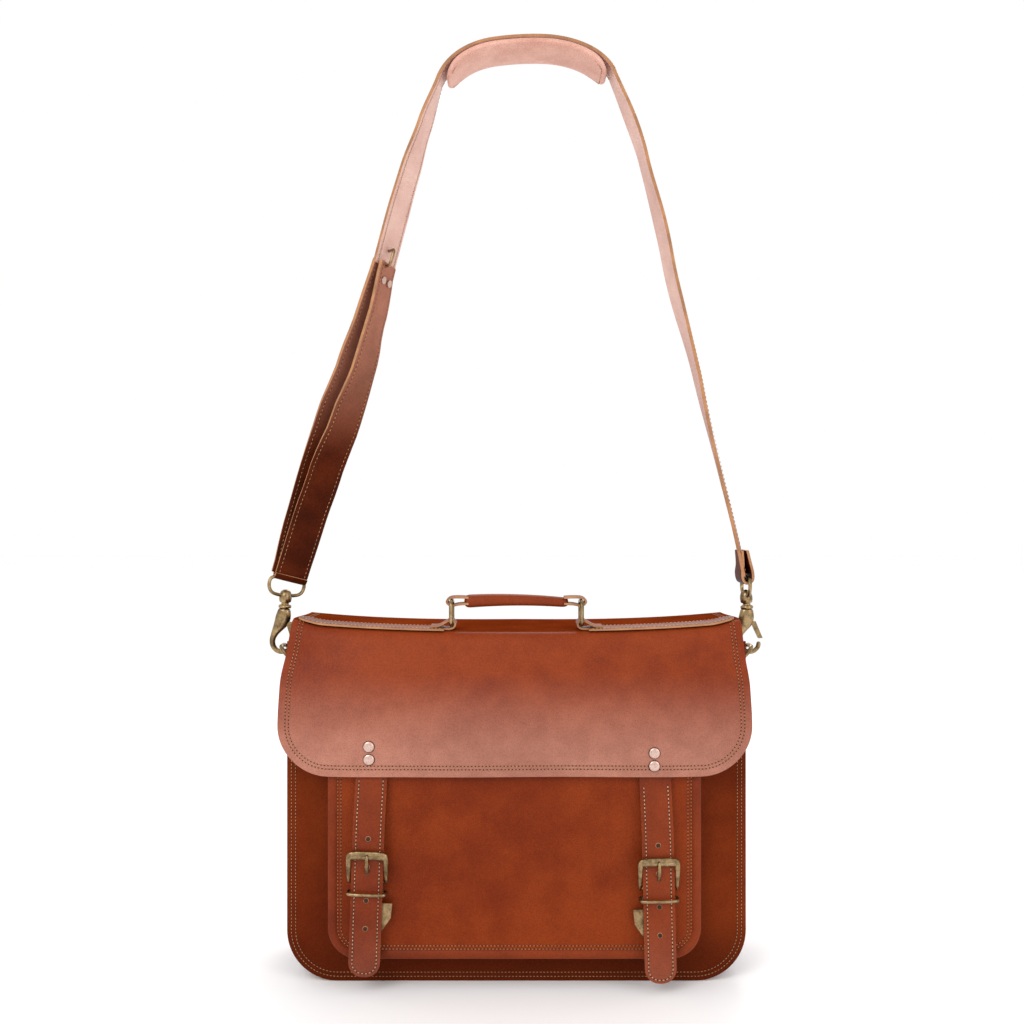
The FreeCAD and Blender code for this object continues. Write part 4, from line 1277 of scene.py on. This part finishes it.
class SATCHEL_OT_shoulder_pad(bpy.types.Operator):
    """Shoulder pad with round ends and a stitched rim, and the run of strap over it"""
    bl_idname = "satchel.shoulder_pad"
    bl_label = "Shoulder pad"

    def execute(self, context):
        low, high = box_of("strap_under_pad")
        left = Vector((low.x + 1 * MM, 0, low.z + 1 * MM))
        right = Vector((high.x - 1 * MM, 0, low.z + 5 * MM))
        rise = high.z - low.z - 6 * MM
        knots = [(left, Vector((9 * MM, 0, 19 * MM))), (left.lerp(right, 0.30) + Vector((0, 0, rise * 0.93)),
                                                         Vector((16 * MM, 0, 2.5 * MM))),
                 (left.lerp(right, 0.68) + Vector((0, 0, rise * 0.93)), Vector((16 * MM, 0, -2.5 * MM))),
                 (right, Vector((10 * MM, 0, -18 * MM)))]
        points = curve_points(knots, 14)
        count = len(points)
        level = [0] * count
        strap_piece("strap_over_pad", points, level, level, level, ["strap_under_pad"])
        line = Line(points)
        reach = line.length
        half_width, corner = 24 * MM, 17 * MM

        def middle(v):
            """Point of the strap's middle line, and the direction away from its upper face."""
            distance = max(0.5 * MM, min(reach - 0.5 * MM, reach * v))
            here = line.at(distance)
            before, after = line.at(max(0.0, distance - 1 * MM)), line.at(min(reach, distance + 1 * MM))
            ahead = (after - before).normalized()
            down = ahead.cross(Vector((0, 1, 0))).normalized()
            return here, -down if down.z > 0 else down

        def half_at(v):
            """Half width of the pad, which has round ends."""
            edge = min(v, 1 - v) * reach
            if edge >= corner:
                return half_width
            return half_width - corner + math.sqrt(max(0.0, corner ** 2 - (corner - edge) ** 2))

        def place(u, v):
            here, down = middle(v)
            half = half_at(v)
            angle = u * 2 * math.pi
            across = math.cos(angle)
            full = min(1.0, min(v, 1 - v) * reach / (20 * MM)) ** 0.5
            puff = math.copysign(abs(math.sin(angle)) ** 0.8, math.sin(angle)) * (0.6 + 4.1 * full) * MM
            rim = 1.0 * MM * (1 if math.sin(angle) > 0 else -1) * (1 - abs(math.sin(angle))) ** 0.5
            return here + down * (7.6 * MM + puff + rim * 0.4) + Vector((0, across * half, 0))

        work = cloth_grid(48, 90, place)
        bmesh.ops.remove_doubles(work, verts=work.verts, dist=0.05 * MM)
        holes = [edge for edge in work.edges if edge.is_boundary]
        bmesh.ops.holes_fill(work, edges=holes, sides=0)
        bmesh.ops.recalc_face_normals(work, faces=work.faces)
        pad = finish_piece("pad_body", work, "shoulder_strap", ["pad"], ["shoulder_pad"])
        round_off(pad)
        row = []
        for side, start in ((-1, 0.03), (1, 0.97)):
            for step in range(161):
                v = start - side * 0.94 * step / 160
                here, down = middle(v)
                row.append((here + down * 10.1 * MM + Vector((0, side * (half_at(v) - 4 * MM), 0)), down))
        sew("pad_stitches", [row], "shoulder_strap", 3.4 * MM, 0.2 * MM)
        return {"FINISHED"}


class SATCHEL_OT_hooks(bpy.types.Operator):
    """Swivel snap hooks, the leather tabs of the D-rings and the clasps' hanging metal"""
    bl_idname = "satchel.hooks"
    bl_label = "Hooks and tabs"

    def execute(self, context):
        for place, side in (("left", -1), ("right", 1)):
            body_low, body_high = box_of("hook_body_" + place)
            gate_low, gate_high = box_of("hook_gate_" + place)
            spine = 1 if (gate_low.x + gate_high.x) < (body_low.x + body_high.x) else -1
            bowl = Vector(((body_low.x + body_high.x) / 2, 0, body_low.z + 11.4 * MM))
            slope = side * -2.3 / 38  # sideways for each millimetre up

            def point(x, z):
                """Point of the hook, in millimetres from the middle of its bowl."""
                return bowl + Vector((spine * x + slope * z, 0, z)) * MM

            shape_line = [(0.2, 29.6, 5.0, 3.8), (0.3, 26.0, 5.9, 4.3), (0.7, 21.5, 6.9, 4.4),
                          (1.9, 17.0, 6.6, 4.0), (4.6, 12.5, 4.8, 3.4), (7.4, 7.5, 3.1, 3.0),
                          (8.9, 3.0, 2.6, 2.9), (9.2, -0.6, 2.5, 2.7), (8.0, -4.6, 2.4, 2.5),
                          (4.6, -8.0, 2.4, 2.4), (0.0, -9.2, 2.3, 2.3), (-4.4, -8.1, 2.1, 2.2),
                          (-7.6, -5.0, 1.9, 2.0), (-8.4, -1.8, 2.2, 2.1), (-8.3, 0.3, 1.2, 1.2)]
            stations = [(point(x, z), Vector((1, 0, 0.001)) if z > 8 else Vector((0, 1, 0)),
                         (a if z > 8 else b) * MM, (b if z > 8 else a) * MM) for x, z, a, b in shape_line]
            brass_wire("snap_hook_" + place, tube(stations, 16, 0.86), "hook_" + place, 2,
                       ["hook_body_" + place])
            head = bmesh.new()
            profile = [(0.0, 29.0), (5.2, 29.0), (5.6, 30.2), (5.2, 31.4), (3.4, 32.2), (3.2, 33.4),
                       (5.0, 34.4), (5.4, 37.0), (5.3, 40.0), (4.4, 43.0), (2.4, 44.8), (0.0, 45.4)]
            spin_profile(head, [point(x * spine, z) for x, z in profile], point(0, 35),
                         Vector((-slope, 0, -1)).normalized())
            bmesh.ops.remove_doubles(head, verts=head.verts, dist=0.02 * MM)
            bmesh.ops.recalc_face_normals(head, faces=head.faces)
            finish_piece("swivel_head_" + place, head, "hook_" + place, ["brass"],
                         ["swivel_post_" + place])
            loop_low, loop_high = box_of("swivel_ring_" + place)
            middle = (loop_low + loop_high) / 2
            span = loop_high - loop_low
            if side < 0:  # turned with the strap, and leaning as it does
                wide = Vector((span.x, span.y, (16.4 * MM - span.z) * 0.9)).normalized()
            else:
                wide = Vector((0.5 * MM, -span.y, 0)).normalized()
            flat = wide.cross(Vector((0, 0, 1))).normalized()
            tall = flat.cross(wide).normalized()
            wire = []
            for x, z in ((-16.8, 3.4), (-16.9, -1.0), (-14.6, -5.6), (-9.6, -7.6), (0, -8.0), (9.6, -7.6),
                         (14.6, -5.6), (16.9, -1.0), (16.8, 3.4), (15.6, 6.8), (11.5, 8.0), (0, 8.1),
                         (-11.5, 8.0), (-15.6, 6.8)):
                wire.append((middle + (wide * x + tall * z) * MM, flat, 1.65 * MM, 1.65 * MM))
            brass_wire("swivel_loop_" + place, tube(wire, 12, 1.0, True), "shoulder_strap", 2,
                       ["swivel_ring_" + place])
            tab_low, tab_high = box_of("dring_tab_" + place)
            face = abs(tab_low.x if side < 0 else tab_high.x) / MM
            bar = (box_of("dring_" + place)[0].z / MM + 1.9, face - 3.4)
            route = [(bar[1] - 1.4, tab_low.z / MM), (bar[1] - 1.4, bar[0] - 10), (bar[1] - 2.3, bar[0]),
                     (bar[1], bar[0] + 2.9), (bar[1] + 2.5, bar[0]), (bar[1] - 0.1, bar[0] - 9),
                     (bar[1] + 0.1, tab_low.z / MM)]
            leather_loop("ring_tab_" + place, [(side * x, z) for x, z in route], 21 * MM, 0, 1.7 * MM, "bag",
                         ["dring_tab_" + place])
        return {"FINISHED"}


class SATCHEL_OT_lining(bpy.types.Operator):
    """Cloth lining, divider, slip pocket and base board"""
    bl_idname = "satchel.lining"
    bl_label = "Lining"

    def execute(self, context):
        jobs = (("front_lining", "cloth", 40), ("back_lining", "cloth", 40), ("divider_panel", "suede", 30),
                ("inner_slip_pocket", "cloth", 12))
        for node, paint, radius in jobs:
            low, high = box_of(node)
            half = (high.x - low.x) / 2
            middle = (low.y + high.y) / 2

            def surface(x, down):
                loose = math.sin(min(1.0, down / (high.z - low.z)) * math.pi) * 0.35 * MM
                ripple = loose * math.sin(x * 70 + down * 18)
                return Vector((x + (low.x + high.x) / 2, middle + ripple, high.z - down))

            panel = Panel(half, high.z - low.z, radius * MM, surface)
            piece = finish_piece("cloth_" + node, panel.work(60, 50), "bag", [paint],
                                 [node])
            thicken(piece, 0.8 * MM, 0.0, 0, 0, 0)
            sew("seam_" + node, [[(spot + Vector((0, -0.4 * MM, 0)), Vector((0, -1, 0))) for spot, _ in
                                  panel.lift(panel.border(5 * MM, 6 * MM))]], "bag", 4.5 * MM)
        low, high = box_of("base_board")
        work = bmesh.new()
        bmesh.ops.create_grid(work, x_segments=40, y_segments=12, size=0.5)
        for vert in work.verts:
            vert.co = Vector((vert.co.x * (high.x - low.x), vert.co.y * (high.y - low.y), high.z))
        board = finish_piece("stiffening_board", work, "bag", ["board"], ["base_board"])
        thicken(board, 2 * MM, -1.0, 0, 0, 0.4 * MM)
        return {"FINISHED"}


class SATCHEL_OT_metal(bpy.types.Operator):
    """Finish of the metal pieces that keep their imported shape"""
    bl_idname = "satchel.metal"
    bl_label = "Metal finish"

    def execute(self, context):
        brass = ["dring", "handle_ring", "hook_gate", "clasp_plate", "clasp_seat", "buckle_roller"]
        names = [stem + "_" + place for stem in brass for place in ("left", "right")]
        finishes = [(name, "brass") for name in names + ["strap_slider", "tab_rivets"]]
        finishes += [(name, "nickel") for name in ("flap_rivets", "slider_rivets", "clasp_magnets")]
        for name, key in finishes:
            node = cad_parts[name]
            for index in range(len(node.material_slots)):
                node.material_slots[index].material = paint_of(key)
            weld = node.modifiers.new("weld", "WELD")
            weld.merge_threshold = 0.01 * MM
            soften(node, 0.35 * MM, 50.0)
        return {"FINISHED"}


class SATCHEL_OT_stage(bpy.types.Operator):
    """Pale floor, soft studio light and the camera"""
    bl_idname = "satchel.stage"
    bl_label = "Stage"

    def execute(self, context):
        scene = context.scene
        scene.view_settings.view_transform = "Standard"
        world = bpy.data.worlds.new("studio")
        scene.world = world
        world.use_nodes = True
        world.node_tree.nodes["Background"].inputs["Color"].default_value = (1.0, 1.0, 1.0, 1.0)
        world.node_tree.nodes["Background"].inputs["Strength"].default_value = 1.0
        work = bmesh.new()
        bmesh.ops.create_grid(work, x_segments=2, y_segments=2, size=9.0)
        mesh = bpy.data.meshes.new("floor")
        work.to_mesh(mesh)
        work.free()
        floor = bpy.data.objects.new("floor", mesh)
        scene.collection.objects.link(floor)
        floor.location.z = -0.5 * MM
        paint = bpy.data.materials.new("floor")
        paint.use_nodes = True
        paint.node_tree.nodes["Principled BSDF"].inputs["Base Color"].default_value = (1.0, 1.0, 1.0, 1.0)
        paint.node_tree.nodes["Principled BSDF"].inputs["Roughness"].default_value = 0.9
        mesh.materials.append(paint)
        for name, spot, aim, size, power in (
                ("key", (-0.9, -1.7, 1.5), (0, 0, 0.3), 1.0, 16.0),
                ("fill", (1.4, -1.5, 0.9), (0, 0, 0.3), 1.0, 7.0),
                ("back", (0.3, 1.3, 1.6), (0, 0, 0.4), 0.9, 9.0)):
            light = bpy.data.lights.new(name, "AREA")
            light.size = size
            light.energy = power
            lamp = bpy.data.objects.new(name, light)
            scene.collection.objects.link(lamp)
            lamp.location = spot
            lamp.rotation_euler = (Vector(aim) - Vector(spot)).to_track_quat("-Z", "Y").to_euler()
        camera = bpy.data.cameras.new("camera")
        camera.lens = 40.33
        camera.sensor_width = 36.0
        camera.clip_start = 0.01
        eye = bpy.data.objects.new("camera", camera)
        scene.collection.objects.link(eye)
        eye.location = (-0.0037, -0.9975, 0.388)
        eye.rotation_euler = (math.pi / 2, 0.0, 0.0)
        scene.camera = eye
        return {"FINISHED"}


class SATCHEL_PT_panel(bpy.types.Panel):
    bl_idname = "SATCHEL_PT_panel"
    bl_label = "Satchel"
    bl_space_type = "VIEW_3D"
    bl_region_type = "UI"
    bl_category = "Satchel"

    def draw(self, context):
        for operator in OPERATORS:
            self.layout.operator(operator.bl_idname)
        for key in GROUPS:
            settings = getattr(context.scene, key)
            for name in settings.bl_rna.properties.keys():
                if name not in ("rna_type", "name"):
                    self.layout.prop(settings, name)


GROUPS = {"satchel_leather": SATCHEL_PG_leather, "satchel_sewing": SATCHEL_PG_sewing,
          "satchel_metal": SATCHEL_PG_metal, "satchel_shape": SATCHEL_PG_shape}
OPERATORS = (SATCHEL_OT_stage, SATCHEL_OT_back, SATCHEL_OT_front, SATCHEL_OT_pocket, SATCHEL_OT_flap,
             SATCHEL_OT_closing_straps, SATCHEL_OT_buckles, SATCHEL_OT_handle, SATCHEL_OT_shoulder_strap,
             SATCHEL_OT_shoulder_pad, SATCHEL_OT_hooks, SATCHEL_OT_lining, SATCHEL_OT_metal)


def register():
    for made in (*GROUPS.values(), *OPERATORS, SATCHEL_PT_panel):
        bpy.utils.register_class(made)
    for key, group in GROUPS.items():
        setattr(bpy.types.Scene, key, PointerProperty(type=group))


def unregister():
    for key in GROUPS:
        delattr(bpy.types.Scene, key)
    for made in (SATCHEL_PT_panel, *reversed(OPERATORS), *reversed(GROUPS.values())):
        bpy.utils.unregister_class(made)


def main():
    register()
    for operator in OPERATORS:
        package, name = operator.bl_idname.split(".")
        getattr(getattr(bpy.ops, package), name)()


if __name__ == "__main__":
    main()
